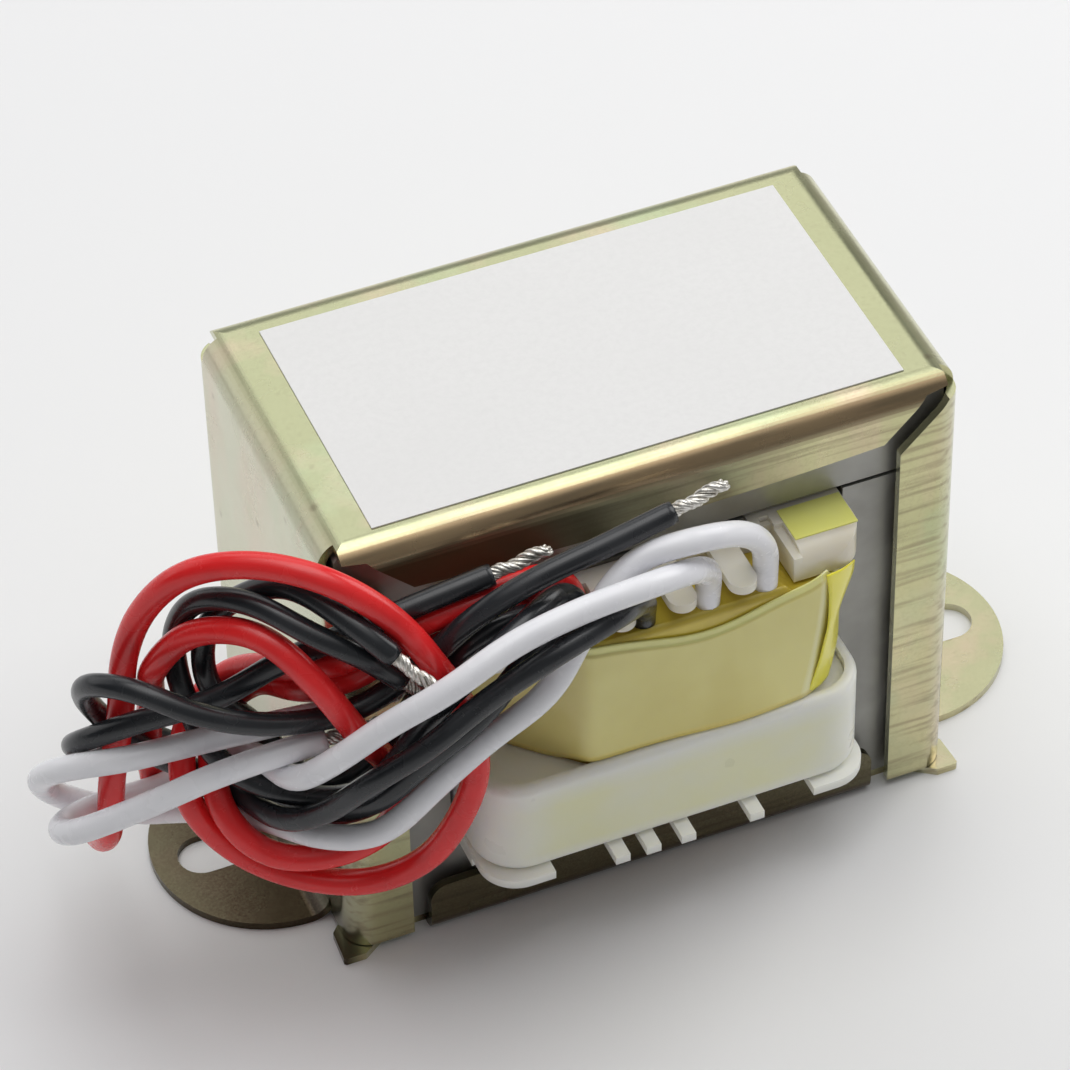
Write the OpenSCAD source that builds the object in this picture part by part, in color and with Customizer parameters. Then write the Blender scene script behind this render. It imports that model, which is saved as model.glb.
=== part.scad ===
// Small frame-mounted transformer: an interleaved E and I lamination core held in a pressed
// steel channel with two slotted feet, a two-section bobbin with taped winding, and free leads.
// Millimetres. +Z is up, X runs along the feet, the leads leave at the front (-Y).
// The origin is on the mounting surface, under the middle of the core.

/* [Core] */
// Width of one side leg; the E and I sheets are all multiples of it
leg_unit = 9.5; // [8.8:0.1:10.2]
// Depth of the whole stack of sheets
stack_depth = 30; // [24:1:36]
// Gap left at the joint between an E and its I
joint_gap = 0.4; // [0.2:0.1:0.6]

/* [Frame] */
// Thickness of the frame's sheet steel
sheet_t = 0.8; // [0.7:0.1:1.0]
// Outer radius of the frame's bends
bend_r = 2.5; // [2.2:0.1:2.5]
// Clearance between the core and the side walls
side_gap = 0.45; // [0.4:0.05:0.7]
// Clearance between the core and the folded flanges
flange_gap = 1; // [0.95:0.05:1.2]
// Width of the side flanges
side_flange_w = 6.1; // [5.5:0.1:7]
// Height of the top flange at its ends
top_flange_h = 5.4; // [5:0.1:6]
// Width of the mitred gap between the top and side flanges
mitre_gap = 2.4; // [1.6:0.2:3]

/* [Feet] */
// Distance between the centres of the two slots
slot_pitch = 72.8; // [71.6:0.1:74]
// Width of each slot
slot_w = 4.7; // [4.2:0.1:5]
// Length of each slot from end to end
slot_length = 8; // [7:0.2:8.4]
// Radius of the rounded foot
foot_r = 11.2; // [10.6:0.1:12]

/* [Base plate] */
// Thickness of the base plate
base_t = 0.8; // [0.6:0.1:1]
// Height of its upturned lips above the mounting surface
lip_h = 5.8; // [4.5:0.1:7]

/* [Winding] */
// How far the lower shroud stands out in front of the stack
shroud_reach = 8.2; // [7.4:0.2:9.8]
// Height of the lower shroud
shroud_h = 10.3; // [8.6:0.1:12.4]
// Wall thickness of the bobbin and the shroud
bobbin_t = 0.9; // [0.8:0.1:1.1]
// Space between the tape wrap and the upper flange
wrap_gap = 1.6; // [1.4:0.1:3]

/* [Leads] */
// Outer diameter of the white leads
white_d = 2.3; // [1.9:0.1:2.3]
// Outer diameter of the black leads
black_d = 2.1; // [1.7:0.1:2.1]
// Outer diameter of the red leads
red_d = 2.4; // [2:0.1:2.4]
// Length of bare twisted strands at the end of each lead
bare_length = 5.5; // [3:0.5:6]
// Thickness of the twisted strands
bare_d = 1.2; // [1:0.1:1.4]

/* [Label] */
// Length of the paper label
label_l = 49.6; // [44:0.2:52]
// Width of the paper label
label_w = 27.4; // [20:0.2:27.4]

/* [Hidden] */
packet_count = 4;
core_w = 6 * leg_unit;
core_h = 5 * leg_unit;
window_h = 3 * leg_unit;
top_gap = 0.2;
corner_cut = 0.7;
packet_t = stack_depth / packet_count;
core_top = base_t + core_h;
frame_h = core_top + top_gap + sheet_t;
frame_w = core_w + 2 * (side_gap + sheet_t);
frame_d = stack_depth + 2 * (flange_gap + sheet_t);
half_w = frame_w / 2;
half_d = frame_d / 2;
flange_foot = base_t + 0.1;
foot_bend = 1.8;
corner_reach = 1;
ear_reach = 0.95;
ear_front = 0.55;
lip_w = 2 * (half_w - side_flange_w) - 3.4;
window_low = base_t + leg_unit;
window_top = window_low + window_h;
spool_w = 4 * leg_unit - 0.8;
spool_low = window_low + 0.2;
spool_top = window_top - joint_gap - 0.2;
flange_d = stack_depth + 3.4;
tube_w = 2 * leg_unit + 0.4 + 2 * bobbin_t;
tube_d = stack_depth + 0.4 + 2 * bobbin_t;
shroud_low = spool_low + bobbin_t;
shroud_top = shroud_low + shroud_h;
shroud_front = stack_depth / 2 + shroud_reach;
shroud_r = 4.5;
shroud_t = bobbin_t + 0.2;
shelf_top = shroud_top - 0.8;
wrap_low = shroud_top - 0.6;
wrap_top = spool_top - bobbin_t - wrap_gap;
wrap_front = shroud_front - shroud_t;
wrap_w = spool_w - 2.6;
wrap_t = 0.4;
wrap_r = 6;
winding_top = wrap_top - 1.6;
low_tab_w = 6;
low_tab_front = shroud_front + 0.8;
low_tab_r = 3.6;
tab_w = 6.2;
tab_front = shroud_front - 2.25;
tab_r = 2.8;
tab_low = wrap_top - 0.7;
nose_r = 1.65;
tape_reach = 4.2;
finger_front = shroud_front + 1.5;
tongue_r = 1.3;
tongue_x = [for (k = [-0.53, 0.07, 0.67]) k * leg_unit];
pocket_w = 3;
pocket_t = 0.8;
pocket_drop = 0.5;
label_x = 0.2;
label_y = -0.35;
small = 0.01;
fine = 64;

// Sizes of the part that the lead routes below are laid out for
laid_core_w = 57;
laid_front = 23.2;
laid_exit = 34.1;
lead_sides = 8;
white_route_1 = [
    [9, -20.5, laid_exit], [9, -20.5, 37], [8.5, -21.5, 41], [5.5, -23.5, 45.5],
    [0, -25.5, 48.5], [-5.5, -25, 47.5], [-10.5, -26.5, 43], [-14, -27, 37.5],
    [-19.5, -26.5, 33.5], [-24, -26, 29.5], [-29, -25, 24.5], [-33.5, -21.5, 22.5],
    [-37, -16, 21], [-41.5, -11.5, 19.5], [-46.5, -7, 17], [-51.5, -5, 19],
    [-54, -6.5, 23.5], [-53, -11, 29], [-48, -14, 31], [-41.5, -15, 31.5],
    [-35.5, -17, 33], [-30, -19, 34.5]
];
white_route_2 = [
    [3.5, -20.5, laid_exit], [3.5, -20.5, 36.5], [3, -22, 40.5], [0, -25.5, 45],
    [-5, -28, 47.5], [-11.5, -28.5, 47.5], [-18, -29, 46.5], [-24, -29.5, 44],
    [-29, -28, 40.5], [-33, -25.5, 35.5], [-35.5, -21.5, 30.5], [-36.5, -15.5, 28],
    [-38.5, -10, 24], [-43, -9, 21], [-49.5, -7.5, 19.5], [-53.5, -10, 21],
    [-53, -14, 24], [-46.5, -17, 28], [-42, -18.5, 30.5], [-36, -20, 32.5],
    [-32, -20.5, 33]
];
black_route_1 = [
    [-2.5, -20.5, laid_exit], [-2.5, -20.5, 36.5], [-3.5, -23, 40.5], [-8, -28, 45],
    [-14, -29.5, 44.5], [-20, -28.5, 40.5], [-25.5, -28.5, 37], [-30.5, -26.5, 32.5],
    [-33.5, -23.5, 27.5], [-36.5, -19.5, 24], [-39.5, -12.5, 23.5], [-44.5, -9.5, 26],
    [-48.5, -7.5, 31], [-50, -10.5, 37.5], [-47, -15, 40], [-42, -18.5, 38],
    [-36, -20, 36], [-29.5, -21, 36], [-24, -21.5, 39], [-19.5, -23.5, 45],
    [-14, -24, 48], [-7.5, -24, 49.5], [-1, -23.5, 50.5]
];
black_route_2 = [
    [-2.5, -18, laid_exit], [-2.5, -18, 36.5], [-4, -20.5, 41], [-9, -23.5, 41.5],
    [-15, -25, 40], [-20, -26.5, 36.5], [-25, -25.5, 32], [-28.5, -24, 27.5],
    [-32, -19, 22], [-35.5, -14.5, 20], [-38.5, -8.5, 20.5], [-43.5, -4.5, 23.5],
    [-50, -6.5, 26.5], [-51, -10, 30.5], [-46.5, -13.5, 34.5], [-40, -15.5, 36.5],
    [-35, -17.5, 40.5], [-30, -19.5, 43.5], [-23.5, -20.5, 45.5], [-16.5, -21, 47]
];
black_route_3 = [
    [-8, -20.5, laid_exit], [-8, -20.5, 38.5], [-11, -22.5, 44], [-16, -26, 45],
    [-22, -27, 41.5], [-25, -25.5, 36.5], [-28.5, -25.5, 32], [-31.5, -22, 27],
    [-36, -17.5, 25.5], [-40, -14.5, 28], [-41.5, -11, 33.5], [-41.5, -9.5, 39],
    [-40, -12, 45], [-36.5, -16.5, 47.5], [-32.5, -21, 46], [-29, -23, 44],
    [-26, -23.5, 40.5]
];
black_route_4 = [
    [-11, -20.5, laid_exit], [-11, -20.5, 38], [-13.5, -22.5, 42.5], [-18.5, -23, 42.5],
    [-23.5, -20.5, 35], [-25.5, -20.5, 31], [-30.5, -19, 25.5], [-33.5, -15.5, 25],
    [-35.5, -12.5, 28.5], [-39.5, -12, 34.5], [-39, -11, 40.5], [-36.5, -13.5, 45.5],
    [-33, -17, 48.5], [-29, -23, 47], [-27, -25, 45]
];
red_route_1 = [
    [-8, -18, laid_exit], [-8, -18, 38.5], [-11.5, -20, 44], [-17, -21, 44.5],
    [-24.5, -20, 42.5], [-30.5, -19.5, 40.5], [-34, -15.5, 38], [-37, -10, 33.5],
    [-41, -10, 29.5], [-43, -13.5, 24.5], [-40.5, -15.5, 19], [-36, -18, 15.5],
    [-30, -21, 14.5], [-25, -23.5, 17.5], [-22, -25, 23], [-20, -25, 29],
    [-20.5, -23.5, 35], [-23, -24.5, 41.5], [-26, -23, 47], [-30.5, -20.5, 51],
    [-35.5, -16.5, 51.5], [-40.5, -13, 49.5], [-44, -10.5, 44.5], [-46, -9.5, 38.5],
    [-47, -10, 32], [-48.5, -10.5, 25.5], [-49, -10, 19], [-49, -6.5, 14],
    [-48.5, -1, 10.5]
];
red_route_2 = [
    [-11, -18, laid_exit], [-11, -18, 38.5], [-15, -19.5, 42.5], [-23, -19, 40.5],
    [-28, -19.5, 38.5], [-32.5, -17.5, 36.5], [-35, -10.5, 32], [-39, -10.5, 28],
    [-40.5, -16, 23.5], [-37, -19, 19], [-30.5, -21, 19], [-26.5, -22.5, 23.5],
    [-27, -22.5, 29.5], [-30, -23.5, 35.5], [-33, -22, 41.5], [-36.5, -18, 45],
    [-41, -13.5, 43], [-44, -11, 37.5], [-43.5, -8, 31.5], [-44, -7, 25],
    [-43.5, -6, 18]
];

// A rectangle with four rounded corners, centred on the origin
module round_rect(w, d, r) {
    union() {
        square([w - 2 * r, d], center = true);
        square([w, d - 2 * r], center = true);
        for (sx = [-1, 1], sy = [-1, 1])
            translate([sx * (w / 2 - r), sy * (d / 2 - r)])
                circle(r, $fn = fine);
    }
}

// A channel's cross-section seen along its run: a web of width w with flanges of height h
module channel_section(w, h, t, r) {
    difference() {
        union() {
            translate([-w / 2, -h])
                square([w, h - r]);
            translate([-w / 2 + r, -r - small])
                square([w - 2 * r, r + small]);
            for (s = [-1, 1])
                translate([s * (w / 2 - r), -r])
                    circle(r, $fn = fine);
        }
        translate([-w / 2 + t, -h - 1])
            square([w - 2 * t, h + 1 - r]);
        translate([-w / 2 + r, -r - 1])
            square([w - 2 * r, r + 1 - t]);
        for (s = [-1, 1])
            translate([s * (w / 2 - r), -r])
                circle(r - t, $fn = fine);
    }
}

// Front view of the top web and its flange, cut to a mitre at both ends and bellied below
module top_outline() {
    low = frame_h - top_flange_h;
    end = half_w - side_flange_w - mitre_gap * 0.68;
    shoulder = frame_h - sheet_t;
    mitre_h = shoulder - 0.5 - low;
    belly = 0.7;
    belly_r = (end * end + belly * belly) / (2 * belly);
    difference() {
        polygon([
            [-half_w, frame_h], [-half_w, shoulder], [-end - mitre_h, low + mitre_h],
            [-end, low], [-end, low - belly], [end, low - belly], [end, low],
            [end + mitre_h, low + mitre_h], [half_w, shoulder], [half_w, frame_h]
        ]);
        difference() {
            translate([-half_w, low - 2])
                square([frame_w, 2.001]);
            translate([0, low - belly + belly_r])
                circle(belly_r, $fn = 720);
        }
    }
}

// Front view of the space inside the bends at the ends of the top web
module bend_outline() {
    union() {
        translate([-half_w + bend_r, 0])
            square([frame_w - 2 * bend_r, frame_h + 1]);
        for (s = [-1, 1])
            translate([s * (half_w - bend_r), frame_h - bend_r])
                circle(bend_r, $fn = fine);
    }
}

// The top web with its front and back flanges
module frame_top() {
    run = frame_w - 2 * (bend_r - corner_reach);
    intersection() {
        translate([0, 0, frame_h])
            rotate([90, 0, 90])
                translate([0, 0, -run / 2])
                    linear_extrude(run)
                        channel_section(frame_d, top_flange_h + 1, sheet_t, bend_r);
        rotate([90, 0, 0])
            translate([0, 0, -half_d - 1])
                linear_extrude(frame_d + 2)
                    intersection() {
                        top_outline();
                        bend_outline();
                    }
    }
}

// The quarter bend that joins the top web to the side wall on the right
module frame_bend() {
    translate([half_w - bend_r, half_d - bend_r, frame_h - bend_r])
        rotate([90, 0, 0])
            rotate_extrude(angle = 90, $fn = fine)
                translate([bend_r - sheet_t, 0])
                    square([sheet_t, frame_d - 2 * bend_r]);
}

// Front view of the right side flange, mitred at its top
module side_flange_outline() {
    inner = half_w - side_flange_w;
    top = frame_h - top_flange_h - mitre_gap * 0.75;
    polygon([
        [inner, flange_foot], [half_w + 1, flange_foot], [half_w + 1, frame_h],
        [inner + frame_h - top, frame_h], [inner, top]
    ]);
}

// The right side wall with its front and back flanges
module frame_side() {
    difference() {
        translate([half_w, 0, 0])
            rotate([0, 0, -90])
                linear_extrude(frame_h - bend_r)
                    channel_section(frame_d, side_flange_w, sheet_t, bend_r);
        for (s = [-1, 1])
            difference() {
                translate([0, s > 0 ? half_d - bend_r : -half_d - 1, -1])
                    cube([half_w + 1, bend_r + 1, frame_h + 2]);
                rotate([90, 0, 0])
                    translate([0, 0, -half_d - 2])
                        linear_extrude(frame_d + 4)
                            side_flange_outline();
            }
        translate([0, -half_d - 1, -1])
            cube([half_w + 1, frame_d + 2, 1 + flange_foot]);
        translate([half_w - sheet_t - 1, -foot_r - 0.4, -1])
            cube([sheet_t + 2, 2 * foot_r + 0.8, 1 + foot_bend + sheet_t]);
    }
}

// The right foot: the bend out of the wall and a half-round plate with its slot
module foot() {
    start = half_w + foot_bend;
    difference() {
        union() {
            translate([start, foot_r, foot_bend + sheet_t])
                rotate([90, 0, 0])
                    rotate([0, 0, 180])
                        rotate_extrude(angle = 90, $fn = fine)
                            translate([foot_bend, 0])
                                square([sheet_t, 2 * foot_r]);
            intersection() {
                translate([start, -foot_r, 0])
                    cube([foot_r, 2 * foot_r, sheet_t]);
                translate([start, 0, 0])
                    cylinder(h = sheet_t, r = foot_r, $fn = 128);
            }
        }
        translate([slot_pitch / 2, 0, -1])
            linear_extrude(sheet_t + 4)
                round_rect(slot_length, slot_w, slot_w / 2 - small);
    }
}

// The pressed steel channel: top, two side walls, folded flanges and feet
module mounting_frame() {
    color([0.66, 0.64, 0.42])
        union() {
            frame_top();
            for (m = [0, 1])
                mirror([m, 0, 0]) {
                    frame_bend();
                    frame_side();
                    foot();
                }
        }
}

// Plan of the base plate's dovetail ears, wider towards the front and back faces
module base_ears() {
    start = foot_r + 0.6;
    for (sx = [-1, 1], sy = [-1, 1])
        scale([sx, sy])
            polygon([
                [half_w - 4, start], [half_w - 1.2, start],
                [half_w + ear_reach - 0.2, start + 2.1],
                [half_w + ear_reach, half_d + ear_front - 0.2],
                [half_w + ear_reach - 0.2, half_d + ear_front],
                [half_w - ear_reach - 0.2, half_d + ear_front],
                [half_w - 4, half_d - 1.4]
            ]);
}

// Front view of the base plate's channel, with the top corners of its lips rounded
module lip_outline() {
    r = 1.8;
    union() {
        translate([-lip_w / 2, 0])
            square([lip_w, lip_h - r]);
        translate([-lip_w / 2 + r, 0])
            square([lip_w - 2 * r, lip_h]);
        for (s = [-1, 1])
            translate([s * (lip_w / 2 - r), lip_h - r])
                circle(r, $fn = fine);
    }
}

// The base plate: a flat web under the core with upturned lips and four ears
module base_plate() {
    color([0.6, 0.58, 0.38])
        union() {
            intersection() {
                rotate([90, 180, 90])
                    translate([0, 0, -lip_w / 2])
                        linear_extrude(lip_w)
                            channel_section(frame_d, lip_h, base_t, 1.6);
                rotate([90, 0, 0])
                    translate([0, 0, -half_d - 1])
                        linear_extrude(frame_d + 2)
                            lip_outline();
            }
            linear_extrude(base_t)
                union() {
                    square([core_w - 1, stack_depth], center = true);
                    base_ears();
                }
        }
}

// A sheet's blank of height h, with its two lower corners cut to clear the frame's bends
module sheet_blank(h) {
    side = core_w / 2;
    polygon([
        [-side + corner_cut, 0], [side - corner_cut, 0], [side, corner_cut],
        [side, h], [-side, h], [-side, corner_cut]
    ]);
}

// Face of an E sheet with its back at the bottom and its three legs up
module e_outline() {
    difference() {
        sheet_blank(core_h - leg_unit - joint_gap);
        for (s = [-1, 1])
            translate([s * 1.5 * leg_unit - leg_unit / 2, leg_unit])
                square([leg_unit, core_h]);
    }
}

// Face of an I sheet, lying across the legs of its E
module i_outline() {
    translate([0, core_h])
        mirror([0, 1, 0])
            sheet_blank(leg_unit);
}

// Stands a sheet's face up as packet n; every second packet is turned over
module packet(n) {
    turned = n % 2 == 0;
    translate([0, -stack_depth / 2 + n * packet_t, base_t + (turned ? core_h : 0)])
        rotate([90, 0, 0])
            mirror([0, turned ? 1 : 0, 0])
                linear_extrude(packet_t)
                    children();
}

module e_packet(n) {
    color([0.33, 0.33, 0.34])
        packet(n)
            e_outline();
}

module i_packet(n) {
    color([0.33, 0.33, 0.34])
        packet(n)
            i_outline();
}

// Plan of the hole in the bobbin for the middle leg
module leg_hole() {
    square([2 * leg_unit + 0.4, stack_depth + 0.4], center = true);
}

// Plan of the corner tabs of a flange: w wide, out to the given front, with corners of radius r
module tab_plan(w, front, r) {
    for (sx = [-1, 1], sy = [-1, 1])
        scale([sx, sy])
            translate([spool_w / 2 - w, 0])
                difference() {
                    square([w, front]);
                    translate([w - r, front - r])
                        difference() {
                            square(r + 1);
                            circle(r, $fn = fine);
                        }
                }
}

// Narrow fingers of the lower flange that part the wire ends
module low_fingers() {
    for (x = [-6.4, -3.4, 0, 6.7], s = [-1, 1])
        translate([x - 0.7, s > 0 ? stack_depth / 2 : -finger_front])
            square([1.4, finger_front - stack_depth / 2]);
}

// The lower flange with its tabs, fingers and two fins that stand against the core
module lower_flange() {
    fin_h = 1;
    translate([0, 0, spool_low])
        linear_extrude(bobbin_t)
            union() {
                square([spool_w, flange_d], center = true);
                tab_plan(low_tab_w, low_tab_front, low_tab_r);
                low_fingers();
            }
    for (sx = [-1, 1], sy = [-1, 1])
        scale([sx, sy, 1])
            translate([spool_w / 2 - 0.8, stack_depth / 2 + 0.2, spool_low - fin_h])
                cube([0.8, 3.6, fin_h + small]);
}

// Rounded tongues of the upper flange, between the leads
module top_tongues() {
    reach = shroud_front - 0.4;
    for (x = tongue_x, s = [-1, 1])
        scale([1, s])
            translate([x, 0])
                union() {
                    translate([-tongue_r, stack_depth / 2])
                        square([2 * tongue_r, reach - stack_depth / 2 - tongue_r]);
                    translate([0, reach - tongue_r])
                        circle(tongue_r, $fn = fine);
                }
}

// Side view of the upper tabs: a box with its top front edge rounded
module nose_outline() {
    union() {
        translate([0, tab_low])
            square([tab_front, spool_top - nose_r - tab_low]);
        translate([0, tab_low])
            square([tab_front - nose_r, spool_top - tab_low]);
        translate([tab_front - nose_r, spool_top - nose_r])
            circle(nose_r, $fn = fine);
    }
}

// The four upper corner tabs
module upper_tabs() {
    intersection() {
        translate([0, 0, tab_low])
            linear_extrude(spool_top - tab_low)
                difference() {
                    tab_plan(tab_w, tab_front, tab_r);
                    square([spool_w + 1, stack_depth + 0.4], center = true);
                }
        union()
            for (m = [0, 1])
                mirror([0, m, 0])
                    rotate([90, 0, 90])
                        translate([0, 0, -spool_w / 2])
                            linear_extrude(spool_w)
                                nose_outline();
    }
}

// Plan of the pocket beside one front and one back tab, where a lead leaves
module pocket_plan() {
    for (a = [0, 180])
        rotate(a)
            translate([spool_w / 2 - tab_w - pocket_t - pocket_w, -flange_d / 2 - 1])
                square([pocket_w, 2.4]);
}

// Upright walls round the pockets, between the tabs and the tape wrap
module pocket_walls() {
    left = spool_w / 2 - tab_w - pocket_t - pocket_w;
    back = stack_depth / 2 + 0.4;
    wall = 0.6;
    for (a = [0, 180])
        rotate(a)
            translate([0, 0, tab_low])
                linear_extrude(spool_top - pocket_drop - tab_low)
                    union() {
                        translate([left, -back - wall])
                            square([pocket_w + pocket_t, wall]);
                        translate([left + pocket_w, -tab_front])
                            square([pocket_t, tab_front - back]);
                    }
}

// The moulded bobbin: a tube round the middle leg with a lower flange, a shelf and an upper flange
module bobbin() {
    color([0.9, 0.89, 0.82])
        difference() {
            union() {
                lower_flange();
                translate([0, 0, spool_low])
                    linear_extrude(spool_top - spool_low)
                        square([tube_w, tube_d], center = true);
                translate([0, 0, shelf_top - bobbin_t])
                    linear_extrude(bobbin_t)
                        round_rect(spool_w - 2 * shroud_t - 0.2, 2 * (shroud_front - shroud_t) - 0.2,
                            shroud_r - shroud_t - 0.1);
                translate([0, 0, spool_top - bobbin_t])
                    linear_extrude(bobbin_t)
                        difference() {
                            union() {
                                square([spool_w, flange_d], center = true);
                                top_tongues();
                            }
                            pocket_plan();
                        }
                upper_tabs();
                pocket_walls();
            }
            translate([0, 0, -1])
                linear_extrude(frame_h)
                    leg_hole();
        }
}

// Section of the shroud's wall, measured out from its corner centres, rounded outside at both ends
module shroud_section() {
    top_r = 0.8;
    union() {
        translate([shroud_r - shroud_t, shroud_t])
            square([shroud_t, shroud_h - shroud_t - top_r]);
        translate([shroud_r - shroud_t, shroud_h - top_r - small])
            square([shroud_t - top_r, top_r + small]);
        intersection() {
            translate([shroud_r - top_r, shroud_h - top_r])
                circle(top_r, $fn = fine);
            translate([shroud_r - top_r, shroud_h - top_r - small])
                square([top_r, top_r + small]);
        }
        intersection() {
            translate([shroud_r - shroud_t, shroud_t])
                circle(shroud_t, $fn = fine);
            translate([shroud_r - shroud_t, 0])
                square([shroud_t, shroud_t + small]);
        }
    }
}

// Upright walls in the core's windows, one at each side of the tape wrap
module window_walls() {
    foot = shroud_top - 1;
    side_d = stack_depth + 0.6;
    for (s = [-1, 1])
        translate([s * (spool_w - bobbin_t) / 2 - bobbin_t / 2, -side_d / 2, foot])
            cube([bobbin_t, side_d, tab_low - 0.1 - foot]);
}

// The shroud over the lower winding: the wall section carried round a rounded rectangle
module lower_shroud() {
    side_x = spool_w / 2 - shroud_r;
    side_y = shroud_front - shroud_r;
    color([0.9, 0.9, 0.84])
        union() {
            translate([0, 0, shroud_low])
                for (a = [0, 180])
                    rotate(a) {
                        translate([side_x, side_y])
                            rotate_extrude(angle = 90, $fn = fine)
                                shroud_section();
                        translate([-side_x, side_y])
                            rotate(90)
                                rotate_extrude(angle = 90, $fn = fine)
                                    shroud_section();
                        translate([side_x, side_y])
                            rotate([90, 0, 0])
                                linear_extrude(2 * side_y)
                                    shroud_section();
                        translate([-side_x, side_y])
                            rotate([90, 0, 90])
                                linear_extrude(2 * side_x)
                                    shroud_section();
                    }
            window_walls();
        }
}

// The wound lower section inside the shroud
module lower_winding() {
    inset = shroud_t + 0.6;
    color([0.72, 0.4, 0.2])
        translate([0, 0, shroud_low])
            difference() {
                linear_extrude(shelf_top - bobbin_t - shroud_low)
                    round_rect(spool_w - 2 * inset, 2 * (shroud_front - inset), shroud_r - inset);
                translate([0, 0, -1])
                    linear_extrude(shroud_h)
                        square([tube_w, tube_d], center = true);
            }
}

// The wound upper section, standing on the shelf
module upper_winding() {
    color([0.82, 0.72, 0.25])
        translate([0, 0, shelf_top])
            difference() {
                linear_extrude(winding_top - shelf_top)
                    round_rect(wrap_w - 2 * wrap_t - 0.1, 2 * (wrap_front - wrap_t) - 0.1, wrap_r - wrap_t);
                translate([0, 0, -1])
                    linear_extrude(winding_top)
                        square([tube_w, tube_d], center = true);
            }
}

// The outer wrap of polyester tape, standing above the winding it holds and notched for the tabs
module tape_wrap() {
    notch_gap = 0.2;
    notch_w = tab_w + pocket_t + notch_gap;
    color([0.86, 0.82, 0.5])
        difference() {
            translate([0, 0, wrap_low])
                linear_extrude(wrap_top - wrap_low)
                    round_rect(wrap_w, 2 * wrap_front, wrap_r);
            linear_extrude(frame_h)
                round_rect(wrap_w - 2 * wrap_t, 2 * (wrap_front - wrap_t), wrap_r - wrap_t);
            for (sx = [-1, 1])
                translate([sx * (spool_w - notch_w) / 2 - notch_w / 2, -tab_front - notch_gap, tab_low - notch_gap])
                    cube([notch_w, 2 * (tab_front + notch_gap), wrap_top]);
        }
}

// A patch of yellow tape on a front corner tab; s is -1 on the left and 1 on the right
module tape_patch(s) {
    color([0.84, 0.84, 0.3])
        translate([s * (spool_w - tab_w) / 2 - tab_w / 2 + 0.1, -stack_depth / 2 - tape_reach, spool_top])
            cube([tab_w - 0.2, tape_reach - 0.2, 0.12]);
}

// The plain paper label on the top web
module label() {
    color([0.93, 0.93, 0.92])
        translate([label_x, label_y, frame_h])
            linear_extrude(0.12)
                square([label_l, label_w], center = true);
}

// A vector of length one
function unit(v) = v / norm(v);

// A route point moved with the part when its sizes change
function on_part(p) = [
    p[0] * core_w / laid_core_w,
    p[1] - (shroud_front - laid_front),
    p[2] * winding_top / laid_exit
];

// The point at t along span i of route r, on a curve that passes through every point
function on_span(r, i, t) =
    let (
        b = r[i],
        c = r[i + 1],
        a = i > 0 ? r[i - 1] : 2 * b - c,
        d = i + 2 < len(r) ? r[i + 2] : 2 * c - b
    )
    (2 * b + (c - a) * t + (2 * a - 5 * b + 4 * c - d) * t * t + (3 * b - a - 3 * c + d) * t * t * t) / 2;

// The centres of a lead's rings: the route points and one more between each two
function centres(route) =
    let (r = [for (p = route) on_part(p)])
    [for (i = [0 : len(r) - 2], t = [0, 0.5]) on_span(r, i, t), r[len(r) - 1]];

// Direction of the lead at ring i; it leaves the winding straight up
function heading(c, i) = i == 0 ? [0, 0, 1] : unit(c[min(i + 1, len(c) - 1)] - c[i - 1]);

// The part of vector v that is square to direction t
function square_to(v, t) = unit(v - (v * t) * t);

// One sideways direction per ring, carried along without twisting
function sideways(c) = [
    for (
        i = 0, s = [1, 0, 0];
        i < len(c);
        s = square_to(s, heading(c, min(i + 1, len(c) - 1))), i = i + 1
    ) s
];

// The points of one ring
function ring(centre, t, s, r) = [
    for (k = [0 : lead_sides - 1])
        let (a = 360 * k / lead_sides)
        centre + r * (cos(a) * s + sin(a) * cross(t, s))
];

// A free lead: a tube of diameter d swept along its route
module lead(route, d, shade) {
    c = centres(route);
    s = sideways(c);
    last = (len(c) - 1) * lead_sides;
    color(shade)
        polyhedron(
            points = [for (i = [0 : len(c) - 1]) each ring(c[i], heading(c, i), s[i], d / 2)],
            faces = [
                [for (k = [0 : lead_sides - 1]) k],
                [for (k = [lead_sides - 1 : -1 : 0]) last + k],
                for (j = [0 : lead_sides : last - 1], k = [0 : lead_sides - 1])
                    let (n = (k + 1) % lead_sides)
                    each [
                        [j + k, j + lead_sides + k, j + lead_sides + n],
                        [j + k, j + lead_sides + n, j + n]
                    ]
            ]
        );
}

// The bare strands at the end of a lead, straight on from its last stretch
module lead_tip(route) {
    c = centres(route);
    t = heading(c, len(c) - 1);
    color([0.8, 0.8, 0.78])
        translate(c[len(c) - 1])
            rotate([0, acos(t[2]), atan2(t[1], t[0])])
                cylinder(h = bare_length, d = bare_d, $fn = 24);
}

module white_lead(route) {
    lead(route, white_d, [0.92, 0.92, 0.94]);
}

module black_lead(route) {
    lead(route, black_d, [0.09, 0.09, 0.1]);
}

module red_lead(route) {
    lead(route, red_d, [0.82, 0.08, 0.1]);
}

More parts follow.
